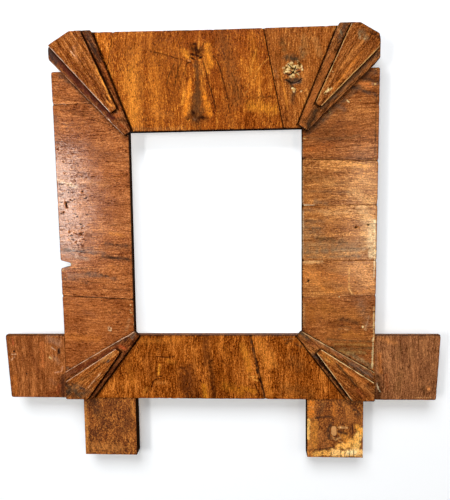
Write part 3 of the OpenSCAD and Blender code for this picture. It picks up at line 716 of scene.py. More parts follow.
def walnut(name, fibre, tones, shift, band=9.0, waves=14.0, worn_lip=0.65, contrast=1.0,
           open_pores=0.6, rubbed="#d8a566"):
    """Old polished walnut: its soft sheen is broken by pores, dark streaks, dirt, painted shade and wear.
    fibre is its direction from X towards Z, in degrees, band the width of its growth rings
    in mm. Tones are four hex colours from dark to light. shift moves the grain, so that no
    two boards are alike."""
    material, tree = new_material(name)
    spot = add(tree, "TexCoord").outputs["Object"]
    moved = add(tree, "VectorMath", {0: spot, 1: (shift, 0, shift)})
    turn = (0, -math.radians(fibre), 0)
    bent = waved(tree, moved, 14.0, waves)
    grime = add(tree, "TexNoise", {"Vector": moved, "Scale": 300.0, "Detail": 3.0, "Roughness": 0.7})
    colour, hair = grown(tree, bent, turn, shift, tones, band, contrast)
    colour, pore = pored(tree, colour, moved, bent, turn, open_pores)
    colour, dirt = dirtied(tree, colour, grime, worn_lip, rubbed)
    # Chips show raw pale wood, and holes and cracks are painted black inside, for the shade and dirt in them
    raw, pit = noted(tree, "raw", "pit")
    inner = add(tree, "ValToRGB", {"Fac": grime}, ramp=[(0.41, "#50300f"), (0.62, "#f0d69a"),
                                                        (0.48, "#bf9250")])
    colour = add(tree, "Mix", {"Factor": raw, "A": colour, "B": inner}, data_type="RGBA")
    colour = add(tree, "Mix", {"Factor": pit, "A": colour, "B": linear("#160b06")}, data_type="RGBA")
    # The polish is duller in pores, and gone from chips and pits
    dull = add(tree, "Math", {0: pore, 1: 0.25, 2: 0.05}, operation="MULTIPLY_ADD")
    dull = add(tree, "Math", {0: grime, 1: 0.2, 2: dull}, operation="MULTIPLY_ADD")
    worn = add(tree, "Math", {0: raw, 1: pit}, operation="MAXIMUM")
    dull = add(tree, "Math", {0: worn, 1: 0.5, 2: dull}, operation="MULTIPLY_ADD", use_clamp=True)
    relief = add(tree, "Math", {0: pore, 1: -0.7, 2: hair}, operation="MULTIPLY_ADD")
    relief = add(tree, "Bump", {"Height": relief, "Distance": 0.05 * MM, "Strength": 0.8})
    wood = add(tree, "BsdfPrincipled", {"Base Color": colour, "Roughness": dull, "IOR": 1.5,
                                        "Specular IOR Level": 0.3, "Normal": relief})
    # It has sunk into dark streaks and pores, and dirt hides it, so all these are matt. The
    # dark mixed in here is dirt, and painted shade beside the boards above.
    soiled = add(tree, "Mix", {"Factor": dirt, "A": colour, "B": linear("#1c0b03")}, data_type="RGBA")
    matt = add(tree, "BsdfDiffuse", {"Color": soiled, "Normal": relief})
    light = add(tree, "RGBToBW", {"Color": soiled})
    sunk = add(tree, "MapRange", {"Value": light, "From Min": 0.10, "From Max": 0.035, "To Max": 0.9})
    for spent in (pore, worn, dirt):
        sunk = add(tree, "Math", {0: sunk, 1: spent}, operation="MAXIMUM")
    add(tree, "OutputMaterial", {"Surface": add(tree, "MixShader", {0: sunk, 1: wood, 2: matt})})
    return material


# The wedge that stands on a leaf, and the angle of its side where the dirt and painted shade gather
top_left_wedge = [("wedge_base_top_left", 21)]
top_right_wedge = [("wedge_base_top_right", 159)]
low_left_wedge = [("wedge_base_bottom_left", -37)]
low_right_wedge = [("wedge_base_bottom_right", -143)]

# Tones of the top rail's leaves, golden on the left and faded on the right
golden = ("#602604", "#ad5812", "#cb7220", "#fca444")
amber_brown = ("#5a2403", "#914610", "#ad5c1b", "#e49032")
faded_brown = ("#5a2a0a", "#904c18", "#ab6126", "#de9444")
# The middle leaf is cut from a crotch, where a branch met the stem
crotch = [
    # Soft zones
    ("#cc7c2c", 13, 0.7, [(-90, 204), (-88, 126)]), ("#b8691f", 12, 0.6, [(-66, 208), (-64, 128)]),
    ("#a85e1c", 10, 0.4, [(-40, 200), (-44, 150)]), ("#dc8a2e", 8, 0.55, [(-92.5, 185), (-91.5, 130)]),
    ("#8a4812", 12, 0.4, [(-64, 199), (-53.5, 178.5)]),
    ("#8c4812", 11, 0.4, [(-53.5, 162.5), (-47.5, 152.5)]),
    ("#8c5020", 12, 0.8, [(10, 214), (18, 185), (25, 148)]),
    ("#a35c20", 8, 0.4, [(11.5, 142), (19.5, 124)]), ("#c2701c", 6, 0.5, [(42, 218), (46, 190), (50, 168)]),
    ("#d08224", 8, 0.8, [(40, 142), (66, 138)]), ("#ab5c14", 9, 0.5, [(-41.5, 207.5), (-37.5, 215.5)]),
    ("#b0763e", 2.4, 0.5, [(-90.5, 119.5), (-35.5, 119.5)]),
    ("#c87a30", 7, 0.4, [(-68, 138), (-49.5, 134)]),
    # Knot and the golden wood around it
    ("#9a5218", 12, 0.6, [(-104, 212), (-58, 214)]), ("#8c4a18", 8, 0.5, [(-52, 214), (-44, 190)]),
    ("#e08a28", 4, 1, [(-34, 205), (-31, 200), (-28, 197)]),
    ("#e48a26", 4, 1.2, [(-7, 210), (-6, 200), (-3, 187)]), ("#e08a2a", 2.8, 1, [(-10, 191), (-7, 180)]),
    ("#5e300c", 6, 1.1, [(-22, 206), (-14, 204)]), ("#3c1a08", 3.4, 1.2, [(-21, 210), (-16, 200)]),
    ("#30140a", 1.8, 1.2, [(-25.5, 200), (-14.5, 197)]),
    ("#280f05", 1.3, 1.3, [(-26, 196.5), (-20, 193.5), (-13, 196.5)]),
    ("#341606", 1.2, 1.1, [(-31, 187), (-29, 190.5), (-25, 191)]),
    ("#b08054", 0.8, 0.8, [(-28.5, 193.5), (-26, 192.5)]), ("#6a4020", 4, 0.7, [(-22, 188), (-16, 181)]),
    ("#34160a", 0.9, 1.1, [(-20, 212), (-19, 196)]), ("#c98032", 1, 0.9, [(-16, 218), (-16.5, 206)]),
    ("#4a240c", 0.9, 1, [(-26, 212), (-22, 202)]), ("#4a240c", 0.9, 1, [(-10, 212), (-15, 202)]),
    # Dark feather below the knot, golden on both sides
    ("#7a4820", 8, 1, [(-19, 152), (-20.5, 134)]), ("#623a1a", 10, 1.2, [(-20, 139), (-20, 130)]),
    ("#5a3418", 3, 1.2, [(-19, 192), (-18.5, 175), (-18.5, 163)]),
    ("#5c3518", 4.6, 1.1, [(-18.5, 169), (-18.5, 150)]),
    ("#5f391c", 6.4, 1.2, [(-18.5, 157), (-20, 142), (-21, 130)]),
    ("#4e280e", 4, 0.9, [(-30, 131), (-22, 133)]), ("#4e280e", 4, 1, [(-15, 131), (-9, 129)]),
    ("#2e1408", 1.6, 1.1, [(-25, 138), (-23, 136)]), ("#2e1408", 2.2, 1.1, [(-17, 130), (-12, 131)]),
    ("#2e1408", 2, 1.1, [(-30, 129), (-28, 131)]), ("#8a6040", 1.2, 0.8, [(-24, 131), (-21, 128)]),
    ("#5c3012", 4, 0.8, [(-19, 126), (-18, 119)]),
    ("#e58624", 2.6, 1, [(-26, 173), (-29, 154), (-32, 142), (-33, 135)]),
    ("#e08e2e", 1.8, 0.9, [(-33, 163), (-36, 146)]), ("#d8842a", 2, 0.8, [(-13.5, 174), (-11.5, 160)]),
    ("#e88824", 3.6, 1.1, [(-11, 156), (-9, 147)]), ("#e98a26", 4.4, 1.2, [(-8, 146), (-5, 134)]),
    # Arcs that fan out from the knot
    ("#4a240c", 1, 1.5, [(-0.5, 197), (3.5, 192), (6.5, 185), (8.5, 177.5), (9.5, 171.5)]),
    ("#54290e", 1, 1.4, [(9.5, 173.5), (12.5, 163.5), (14.5, 152.5), (15.5, 144), (17.5, 135)]),
    ("#54290c", 1, 1.4, [(-12, 192), (-9, 182), (-7, 170.5), (-3.5, 160.5), (-0.5, 150), (1.5, 140)]),
    ("#643610", 1, 1.2, [(-35.5, 193), (-39.5, 185), (-41.5, 176.5), (-43.5, 166.5)]),
    ("#5c3010", 0.9, 1.2, [(-31, 185), (-35.5, 174.5), (-38.5, 162.5)]),
    ("#d07e26", 1.4, 0.7, [(-34.5, 187), (-30, 176.5)]),
    ("#643812", 1, 1, [(19.5, 178.5), (26, 162.5), (28, 150)]),
    ("#5c3212", 1, 1, [(-44, 190), (-50, 178), (-53, 168)]),
    ("#b97a34", 0.9, 0.8, [(38, 165.5), (37, 158.5), (33, 154.5)]),
    ("#e09438", 0.9, 0.9, [(60.5, 193), (52.5, 186), (47, 178.5), (45, 170.5)]),
    ("#d98c30", 1.2, 0.7, [(47, 203), (43, 189), (41, 174.5)]),
    ("#6e3c12", 0.9, 0.9, [(30, 153), (45, 151.5), (56.5, 152.5), (66.5, 151.5)]),
    ("#5a2d0c", 0.9, 0.9, [(52.5, 150), (62.5, 152)]),
    # Hairline
    ("#5a2a0c", 0.8, 0.6, [(-82, 206), (-68, 204.5)]),
    ("#481f08", 0.9, 0.95,
     [(-70, 204), (-62, 202.5), (-51.5, 199.5), (-43.5, 196.5), (-37.5, 195), (-30, 192.5)]),
]
# The right leaf has smoky streaks
halo = [
    ("#5a3e1e", 4, 0.7, [(74.5, 211.5), (77.5, 201)]), ("#8a4a18", 5, 0.7, [(70, 196), (68, 182)]),
    ("#ad7238", 5, 0.7, [(99, 214), (101, 199)]), ("#4c3824", 5, 1.2, [(80, 193), (90, 192)]),
    ("#4e3a28", 5, 1.2, [(84, 168), (95, 168)]), ("#47301c", 3, 1, [(82, 168), (87, 160), (88, 154)]),
    ("#56321a", 3.4, 0.9, [(86, 153), (88, 144)]),
    ("#c97a2a", 1.6, 0.8, [(72.5, 181), (76.5, 162.5), (80, 148)]),
    ("#cd7f2c", 1.6, 0.7, [(77.5, 158.5), (81, 138)]), ("#c07434", 4, 0.5, [(102, 178.5), (98, 160.5)]),
    ("#bd7c3e", 5, 0.8, [(111, 212), (116, 196)]), ("#9c7040", 4, 0.8, [(96, 202), (98, 192)]),
    ("#966a42", 2, 0.5, [(67.5, 181), (69.5, 172.5)]),
]
chips = [
    ("chip", [(80, 182), (93, 183)], 2.2, 0.4), ("chip", [(85, 186), (88, 180), (87, 174)], 2.2, 0.4),
    ("chip", [(93, 188), (96, 183)], 1.3, 0.4), ("chip", [(78, 179), (82, 178)], 1.4, 0.4),
    ("chip", [(90, 178), (93, 174)], 1.2, 0.4), ("chip", [(87, 160), (89, 157)], 1.2, 0.4),
    ("chip", [(96, 157)], 0.8, 0.4), ("chip", [(97, 180)], 1.1, 0.3),
    ("crack", [(79, 176), (84, 174.5), (88, 178), (90, 183)], 0.5, 0.3),
    ("crack", [(82, 186), (86, 182), (92, 180)], 0.4, 0.3),
    ("crack", [(84, 179), (89, 176), (95, 178)], 0.4, 0.3),
    ("crack", [(79, 170), (84, 166), (89, 165.5)], 0.5, 0.3),
    ("crack", [(89, 165.5), (94, 168), (97, 171)], 0.4, 0.3),
]
for node, tones, figure, marks, shift, above in (
        ("top_veneer_left", golden, [], [], 0.13, top_left_wedge),
        ("top_veneer_middle", amber_brown, crotch, [], 0.31, top_left_wedge),
        ("top_veneer_right", faded_brown, halo, chips, 0.47, top_right_wedge)):
    wood = walnut("polished_walnut_" + node, PLUMB, tones, shift, contrast=0.85, open_pores=0.9)
    board("leaf_" + node, node, wood, marks=marks, figure=figure, above=above,
          seed=round(shift * 100))

# Tones of the uprights' leaves: warm and rosy on the left, duller on the right
rosy = ("#552205", "#9a5528", "#b26a36", "#e09254")
red_brown = ("#5f2908", "#945022", "#a96130", "#ce8044")
tan = ("#6a340c", "#a0602e", "#b5743a", "#eaa45a")
hazel = ("#5a2a0a", "#8a4c22", "#a05e2c", "#cf8646")
upper_figure = [
    ("#643416", 2.2, 0.6, [(-172, 155), (-153, 153), (-141, 150)]),
    # A soft dark band beside the wedge: dirt and painted shade
    ("#6a4632", 3.4, 0.8, [(-174, 180), (-160, 172), (-146, 158), (-132, 146)]),
]
left_lines = [
    # The pale streak at the top of the sheen is pale wood with painted sheen on it
    ("#e0b080", 2.4, 1, [(-181, 64), (-172, 61), (-160, 56)]),
    ("#5a2c14", 0.8, 1.2, [(-173, 36), (-165, 41)]), ("#6a3a20", 0.8, 1, [(-184, 46), (-180, 47)]),
    ("#5c301a", 1, 1, [(-160, 8), (-153, 12)]),
    ("#643416", 1.6, 0.7, [(-174, 143), (-158.5, 141), (-144, 138), (-129, 133)]),
    ("#5a2c10", 0.9, 0.9, [(-159.5, 138), (-145.5, 136), (-131, 131.5)]),
    ("#5a2c10", 0.9, 0.8, [(-143, 132), (-131, 129), (-119, 125)]),
    ("#6b3c20", 0.8, 0.8, [(-184, 148), (-163.5, 147)]), ("#7a4a30", 4, 0.6, [(-182, 136), (-180, 124)]),
    ("#5c3018", 1.4, 0.7, [(-181, 107.5), (-175, 102.5)]),
    ("#7e4a30", 5, 0.6, [(-180, 104.5), (-143, 104.5)]),
    ("#7b4424", 7, 0.6, [(-139, 95.5), (-121, 91), (-104.5, 89)]),
    ("#b0642c", 9, 0.5, [(-131, 75), (-106.5, 67)]), ("#c47c3e", 5, 0.5, [(-153.5, 62.5), (-123, 56.5)]),
    ("#8c4e26", 4, 0.4, [(-128, 30), (-106.5, 36)]), ("#8a4c24", 3, 0.5, [(-125, 18), (-106.5, 17)]),
    ("#56300f", 0.8, 0.7, [(-123, 12), (-100.5, 11)]), ("#c67a34", 2.4, 0.8, [(-122, 2.5), (-106.5, -0.5)]),
    ("#7c4a26", 4, 0.6, [(-129, -12.5), (-102.5, -14.5)]),
    ("#7a5a44", 2.4, 0.6, [(-180, -18), (-153.5, -16.5), (-129, -20)]),
    ("#54321c", 0.8, 0.8, [(-176, -14.5), (-143, -13.5)]),
    ("#5e3a22", 2.4, 0.7, [(-134, -25), (-100.5, -27)]),
    ("#a89078", 3, 0.5, [(-168.5, -23), (-148.5, -27)]),
    ("#8d6a54", 5, 0.6, [(-171.5, -46.5), (-139, -45)]),
    ("#4e2c16", 0.9, 0.8, [(-159.5, -55.5), (-135, -54)]),
    ("#4a2a16", 1.1, 0.8, [(-135, -45), (-125, -47.5)]),
    ("#5a3018", 0.8, 0.8, [(-133, -61.5), (-100.5, -64.5)]),
    ("#b86e34", 3, 0.6, [(-125, -35), (-108.5, -37)]),
    ("#6b3c1c", 0.8, 0.7, [(-163.5, -61.5), (-131, -63.5)]),
    ("#3c1a08", 0.8, 1.3, [(-162, -71), (-98, -74.5)]),
    ("#3c2010", 0.7, 0.9, [(-176, -38.5), (-145.5, -37)]),
    ("#4e3424", 1.8, 0.8, [(-128, -9), (-114, -11), (-100, -12)]),
    ("#3e2a1e", 2.6, 0.9, [(-132, -23), (-118, -26), (-100, -28)]),
    ("#5c4434", 1.6, 0.8, [(-178, -15), (-160, -18), (-140, -21)]),
    ("#5c4638", 3, 0.6, [(-152, -44), (-136, -46), (-118, -50)]),
    ("#6a4a38", 2.2, 0.6, [(-180, -50), (-164, -51), (-150, -54)]),
    ("#7c3c1a", 1.6, 0.7, [(-184, -58), (-160, -63), (-140, -61)]),
]
left_marks = [
    ("hole", [(-172.5, 38), (-172, 33.5)], 0.9, 0.8), ("chip", [(-169, 149)], 0.7, 0.3),
    ("hole", [(-153, 50.5)], 0.9, 0.5), ("hole", [(-155, 9)], 0.6, 0.5), ("hole", [(-156, 2)], 0.8, 0.5),
    ("hole", [(-176, 27)], 0.8, 0.4), ("hole", [(-179, 26)], 0.6, 0.4),
    ("hole", [(-167.5, 41.5)], 0.6, 0.3), ("hole", [(-174, 85)], 0.6, 0.4),
    ("hole", [(-172.5, 72)], 0.6, 0.4), ("hole", [(-180, 99.5)], 0.6, 0.4),
    ("hole", [(-165.5, 58.5)], 0.5, 0.4), ("hole", [(-162.5, -7.5)], 0.6, 0.4),
    ("hole", [(-169.5, 4.5)], 0.6, 0.4), ("chip", [(-169, -32)], 0.9, 0.3),
    ("chip", [(-179, -40)], 0.8, 0.3), ("chip", [(-177, -48.5)], 0.6, 0.3),
]
# Open pores, which stay dark in the sheen
rng = random.Random(8)
for _ in range(40):
    x, z = rng.uniform(-183, -148), rng.uniform(-12, 62)
    left_lines.append(("#2e1408", rng.uniform(0.6, 1.0), 1.6, [(x, z), (x + rng.uniform(0.3, 2.6), z)]))
low_left = [
    ("#3c1a08", 0.8, 1.3, [(-162, -71), (-98, -74.5)]),
    ("#e8cda0", 0.7, 0.95,
     [(-127.5, -106.5), (-124.5, -108.5), (-125, -111.5), (-127.5, -111), (-128, -107.5)]),
    ("#8a4a1e", 4, 0.5, [(-153.5, -106.5), (-114.5, -105.5)]),
    ("#c0702c", 6, 0.5, [(-176, -118.5), (-141, -120.5)]),
    ("#7e4a2e", 5, 0.5, [(-153.5, -90), (-143, -94)]), ("#5c5040", 2.2, 0.8, [(-179, -156)]),
    ("#b56a34", 5, 0.4, [(-163.5, -82), (-123, -84)]), ("#8c5224", 3, 0.5, [(-131, -90), (-112.5, -88)]),
    ("#c08a58", 2.2, 0.6, [(-102.5, -98), (-106.5, -110.5)]),
    ("#8b4c22", 5, 0.4, [(-163.5, -139), (-143, -143)]),
]
low_left_marks = [
    ("chip", [(-101, -81)], 0.7, 0.3), ("chip", [(-101.5, -87)], 0.6, 0.3),
    ("chip", [(-99.5, -90)], 0.8, 0.3), ("chip", [(-98, -94)], 0.5, 0.3),
    ("chip", [(-97.5, -103.5)], 0.7, 0.3), ("hole", [(-126.5, -109)], 0.5, 0.3),
    ("hole", [(-135, -76)], 0.6, 0.4),
]
# Pale worn lip along the opening
right_lip = [
    ("#c9a480", 1.3, 0.8, [(97, 103.5), (97.5, 62.5)]), ("#d0ab84", 1.3, 0.8, [(97.5, 60.5), (97.5, 34)]),
    ("#dcb78c", 1.5, 0.8, [(98, 26), (97.5, -27)]),
]
first_figure = [
    ("#7c4824", 16, 0.35, [(108, 104), (150, 120)]), ("#5e4632", 4, 0.9, [(104, 112), (126, 130)]),
    ("#5e4632", 3, 0.8, [(126, 130), (150, 152), (168, 170)]),
    ("#cc7e40", 3.6, 0.9, [(159, 164.5), (170.5, 162.5)]),
    ("#5a3014", 1.2, 0.9, [(152, 160.5), (162, 155.5), (177.5, 153.5)]),
    ("#603418", 2.6, 0.8, [(152, 170.5), (166.5, 171.5), (179.5, 167.5)]),
    ("#9c8068", 1.8, 0.8, [(173.5, 162.5), (178.5, 162.5)]),
    ("#6d3f1c", 9, 0.6, [(107, 117.5), (127.5, 113.5)]), ("#70401e", 5, 0.5, [(131.5, 138), (144, 130)]),
    ("#9a6a44", 3, 0.5, [(125.5, 138), (129.5, 134)]), ("#b0662e", 6, 0.5, [(148, 115.5), (166.5, 109.5)]),
    ("#a85a24", 5, 0.6, [(99, 93), (129.5, 97.5)]), ("#b96e34", 4, 0.5, [(162, 93), (170.5, 105.5)]),
    ("#5e3418", 1.6, 0.8, [(98, 84.5), (129.5, 84), (152, 83), (175.5, 81.5)]),
    ("#70421e", 2.4, 0.6, [(123.5, 105.5), (152, 104.5)]), ("#61391b", 1, 0.7, [(150, 91), (164.5, 90)]),
    ("#61391b", 1, 0.7, [(152, 97.5), (162, 96.5)]), ("#5a3a28", 5, 0.9, [(166, 174), (176, 175)]),
    ("#4e3424", 2.4, 1, [(162, 169), (171, 167), (179, 164)]),
    ("#d07638", 2.6, 0.9, [(159, 165), (165, 163), (170, 160)]),
    ("#5e4230", 2.6, 0.9, [(152, 159), (164, 155), (177, 151)]),
    ("#74543e", 3, 0.7, [(133, 141), (143, 136)]),
    ("#6a4628", 2.2, 0.7, [(104, 106), (130, 104), (160, 107)]),
    ("#5c3a22", 0.9, 0.9, [(177.5, 150), (177, 86)]),
]
nicks = [
    ("chip", [(146, 145.5), (148, 144)], 0.7, 0.3), ("chip", [(160.5, 145)], 0.6, 0.3),
    ("chip", [(176, 162.5)], 1.1, 0.2), ("chip", [(127.5, 149)], 0.6, 0.3),
    ("chip", [(127, 133)], 0.8, 0.3), ("chip", [(100, 105.5)], 0.9, 0.3),
    ("chip", [(176.5, 177.5)], 0.9, 0.3), ("chip", [(176.5, 82)], 0.8, 0.3),
]
# Its broad pale strokes from 150 mm outward are pale wood with painted sheen on it
second_figure = [
    ("#e6a052", 4, 0.8, [(142, 77), (170.5, 74)]), ("#8a5a2e", 6, 0.6, [(101, 62.5), (129.5, 60.5)]),
    ("#6a452a", 2.4, 0.7, [(101, 47.5), (127.5, 46.5), (152, 45.5)]),
    ("#7e5630", 3, 0.5, [(121.5, 52.5), (147, 55.5)]), ("#e2a862", 8, 0.5, [(154, 44.5), (172.5, 36)]),
    ("#d8a062", 7, 0.3, [(162, 60.5), (174.5, 52.5)]), ("#5a3418", 1.2, 0.8, [(133.5, 68), (137, 67.5)]),
    ("#eccca0", 1.6, 0.95, [(99, 31.5), (109.5, 31)]), ("#7e6044", 3, 0.7, [(111.5, 35), (125.5, 33)]),
    ("#d08c48", 3, 0.5, [(126.5, 40.5), (147, 39.5)]),
]
# Its broad pale strokes from 150 mm outward are pale wood with painted sheen on it; the narrow ones at the
# edge are wear
third_figure = [
    ("#8e6c48", 13, 0.65, [(103, -16), (148, -17)]), ("#9c7a54", 12, 0.5, [(103, 4), (112, 2)]),
    ("#b4865a", 12, 0.5, [(160, -18), (170, -18)]), ("#ecd0a0", 5, 0.8, [(173.5, 12), (174.5, -25)]),
    ("#6a4c34", 3, 0.8, [(101, 14), (121.5, 13)]), ("#5e4430", 1.6, 0.7, [(101, 6.5), (117.5, 5.5)]),
    ("#c98444", 4.5, 0.6, [(123.5, 14), (148, 11)]),
    ("#dcb078", 11, 0.5, [(164.5, 26), (172.5, 5.5), (170.5, -8.5)]),
    ("#6f4c28", 3.4, 0.8, [(115.5, -5.5), (133.5, -8.5)]),
    ("#6c4826", 2.6, 0.7, [(138, -9.5), (148, -10.5)]),
    ("#8c7050", 2.4, 0.7, [(101, -21), (131.5, -19), (172.5, -18)]),
    ("#7a5e42", 1.6, 0.7, [(103, -27), (162, -26)]), ("#f6dca8", 1.6, 0.9, [(177.5, 14), (178, -30)]),
    ("#8a6644", 3, 0.6, [(101, 27), (125.5, 24)]), ("#e0a868", 4, 0.5, [(123.5, 22), (150, 24)]),
]
third_marks = [("hole", [(156, 6.5), (157.5, 6)], 0.7, 1.2), ("hole", [(170, 9), (171, 8.5)], 0.7, 1.2)]
# Its broad pale strokes from 150 mm outward are pale wood with painted sheen on it; the narrow one at the
# edge is wear
fourth_figure = [
    ("#c4702a", 12, 0.5, [(104, -48), (146, -52)]), ("#e29a58", 9, 0.5, [(152, -44), (172, -44)]),
    ("#efb878", 2.4, 0.9, [(99, -32.5), (119.5, -32)]), ("#cc8442", 7, 0.55, [(105, -43), (113.5, -55.5)]),
    ("#dc8a3a", 2.6, 0.8, [(116.5, -59.5), (125.5, -66.5), (148, -64.5)]),
    ("#e6a858", 1.3, 0.7, [(150, -41), (149.5, -62.5)]),
    ("#eab264", 0.9, 0.9, [(149.5, -62.5), (153.5, -69.5)]),
    ("#e09a58", 10, 0.5, [(160, -39), (172.5, -59.5)]), ("#8a5a30", 3.4, 0.6, [(127.5, -41), (142, -45)]),
    ("#8e5a2c", 4, 0.5, [(123.5, -56.5), (142, -59.5)]),
    ("#f4d6a4", 1.2, 0.9, [(178, -31), (177.5, -49.5)]),
    ("#cf7e36", 3, 0.6, [(158, -67.5), (174.5, -65.5)]),
]
fourth_marks = [("hole", [(104, -53), (104, -55)], 0.6, 1.2)]
fifth_figure = [
    ("#b4702e", 14, 0.4, [(108, -88), (166, -94)]), ("#ae6c2e", 14, 0.4, [(128, -114), (166, -124)]),
    ("#5a3a20", 2.8, 0.85, [(140, -98), (150, -99.5), (160, -103.5)]),
    ("#6b4828", 1.4, 0.7, [(138, -105.5), (152, -107.5)]),
    ("#cf9a60", 0.6, 0.8, [(138, -109.5), (144, -109)]), ("#cf9a60", 0.6, 0.8, [(145, -110), (151, -110)]),
    ("#dcb080", 0.6, 0.8, [(167.5, -110.5), (170.5, -102.5), (172.5, -94)]),
    ("#8a664a", 8, 0.5, [(162, -80), (172.5, -104.5)]),
    ("#bd742e", 5, 0.5, [(144, -116.5), (164.5, -114.5)]),
    ("#6a4626", 1.6, 1, [(126, -121.5), (150, -123), (174, -124)]),
    ("#74522e", 2.2, 1, [(128, -131), (150, -132.5), (176, -131.5)]),
    ("#a8783c", 1.8, 0.8, [(134, -127), (172, -128)]),
    ("#9a7c54", 3.4, 0.9, [(150, -138), (165, -146), (175, -153)]),
    ("#e8c888", 0.8, 0.8, [(177.8, -84), (178, -120.5)]),
    ("#ecd298", 1.3, 0.9, [(177.5, -120.5), (176.5, -155)]),
    ("#b06c28", 7, 0.4, [(119.5, -76), (125.5, -86)]), ("#ab6424", 6, 0.4, [(105, -86), (109.5, -102.5)]),
    ("#c28a50", 2, 0.6, [(99, -80), (99, -106.5)]), ("#a8844a", 3, 0.7, [(140, -136), (168, -137)]),
]
fifth_marks = [
    ("chip", [(165.5, -107)], 1.2, 0.3), ("chip", [(169, -110.5)], 0.6, 0.3),
    ("chip", [(131.5, -71)], 0.6, 0.3), ("chip", [(139, -72.5)], 0.5, 0.2),
]
for node, tones, figure, marks, shift, tight, above in (
        ("left_veneer_upper", rosy, upper_figure, [], 0.11, 0, top_left_wedge),
        ("left_veneer_middle", rosy, left_lines, left_marks, 0.23, 0, top_left_wedge),
        ("left_veneer_lower", red_brown, low_left, low_left_marks, 0.37, 0, low_left_wedge),
        ("right_veneer_1", hazel, first_figure + right_lip, nicks, 0.41, 0, top_right_wedge),
        ("right_veneer_2", tan, second_figure + right_lip, [], 0.53, 0, []),
        ("right_veneer_3", tan, third_figure + right_lip, third_marks, 0.61, 0.18, []),
        ("right_veneer_4", tan, fourth_figure, fourth_marks, 0.73, 0.18, []),
        ("right_veneer_5", hazel, fifth_figure, fifth_marks, 0.83, 0.18, low_right_wedge)):
    wood = walnut("polished_walnut_" + node, LEVEL, tones, shift, contrast=0.82, open_pores=0.8)
    board("leaf_" + node, node, wood, marks=marks, figure=figure, above=above,
          tight=tight, seed=round(shift * 100))

# The bottom rail is the darkest, a deep orange brown
umber = ("#4c1c00", "#8b440d", "#a95b19", "#dc8434")
low_figure = [
    ("#cc7828", 5, 0.6, [(-90.5, -123.5), (-45.5, -122.5)]),
    ("#b4661c", 6, 0.5, [(-106.5, -153), (-100.5, -173.5)]),
    ("#7c3e12", 8, 0.5, [(-84, -143), (-80, -163.5)]), ("#6a3614", 13, 1, [(-38, -160), (-35, -186)]),
    ("#683410", 7, 1, [(-14, -119), (-13, -148)]), ("#5a2c0c", 4.4, 1.1, [(-9, -148), (-5, -190)]),
    ("#6a320a", 5, 0.9, [(-27, -168), (-25, -191)]), ("#8a4a12", 5, 0.5, [(-29, -137), (-25, -153)]),
    ("#b5661c", 7, 0.5, [(3.5, -126.5), (11.5, -143)]),
    ("#c87a22", 5, 0.8, [(29, -128.5), (33, -143), (36, -158)]),
    ("#522408", 2.4, 1, [(-7, -163.5), (-6, -191)]), ("#a85a14", 5, 0.5, [(5.5, -163.5), (13.5, -185.5)]),
    ("#c4781a", 3.6, 1, [(-17, -176), (-15, -190)]), ("#b86e18", 7, 0.7, [(8, -176), (26, -184)]),
    ("#ca7c1e", 4, 0.7, [(30, -179.5), (42, -183.5)]),
    ("#e09c42", 1.2, 0.8, [(35, -166), (42, -165.5), (46, -165.5)]),
    ("#d8943c", 1.4, 0.8, [(40, -168.5), (46, -170.5)]), ("#3e1a06", 1.1, 0.9, [(-71, -132), (-71, -134)]),
    ("#4a1c06", 0.9, 1.3, [(-73, -142), (-62, -143), (-51.5, -142)]),
    ("#501f06", 0.9, 0.7, [(-71, -143), (-73, -155), (-74, -164.5)]),
    ("#cf7c26", 3, 0.8, [(-59.5, -147), (-51.5, -149)]),
    ("#e0922c", 1.8, 0.9, [(-68.5, -152), (-70, -163)]),
    ("#3c1808", 1, 1.3, [(-73, -166.5), (-66, -165.5)]), ("#46200a", 0.9, 0.9, [(-75, -170), (-68, -168)]),
    ("#36160a", 1, 1.3, [(-76.5, -171.5), (-78.5, -178.5)]),
    ("#c87c34", 2.4, 0.7, [(-74, -173.5), (-62, -173.5)]),
    ("#d8862e", 2, 0.7, [(-84, -179.5), (-89.5, -188)]),
    ("#5a2a08", 0.8, 0.7, [(-49.5, -145), (-48.5, -163.5)]),
    ("#241006", 2, 1.4, [(44.5, -157), (46, -160.5)]),
    ("#4a2c18", 2.2, 1.2, [(38.5, -121), (43, -142), (46.5, -158), (50, -172), (53.5, -190)]),
    ("#3a1c0a", 1, 0.9, [(42, -173.5), (48, -187)]),
    ("#241006", 1.6, 1.4, [(47.5, -167.5), (49.5, -172.5)]),
]
low_right_figure = [
    ("#cc7c2c", 7, 0.7, [(48, -124.5), (58.5, -153)]), ("#c87a2c", 5, 0.6, [(62.5, -139), (66.5, -153)]),
    ("#8e5630", 1.2, 0.5, [(42, -118.5), (91, -117.5)]),
    ("#4a2a14", 1.6, 0.8, [(78.5, -126.5), (81, -124.5), (86, -123.5)]),
    ("#5a3a20", 2, 0.7, [(89, -126.5), (96, -130)]), ("#9a6a3c", 1.2, 0.7, [(76.5, -121.5), (89, -120.5)]),
    ("#8a5222", 10, 0.5, [(85, -145), (93, -153)]), ("#84501f", 10, 0.5, [(78.5, -179.5), (105, -185.5)]),
    ("#b96c20", 5, 0.6, [(56.5, -173.5), (60.5, -188)]),
    ("#6b3610", 0.8, 0.8, [(58.5, -122.5), (60.5, -133)]),
    ("#2c1408", 1, 0.9, [(50.5, -171.5), (54.5, -190)]),
]
for node, figure, shift, above in (
        ("bottom_veneer_left", low_figure, 0.17, low_left_wedge),
        ("bottom_veneer_right", low_right_figure, 0.29, low_right_wedge)):
    wood = walnut("polished_walnut_" + node, PLUMB, umber, shift, open_pores=1.0)
    board("leaf_" + node, node, wood, figure=figure, above=above, seed=round(shift * 100))

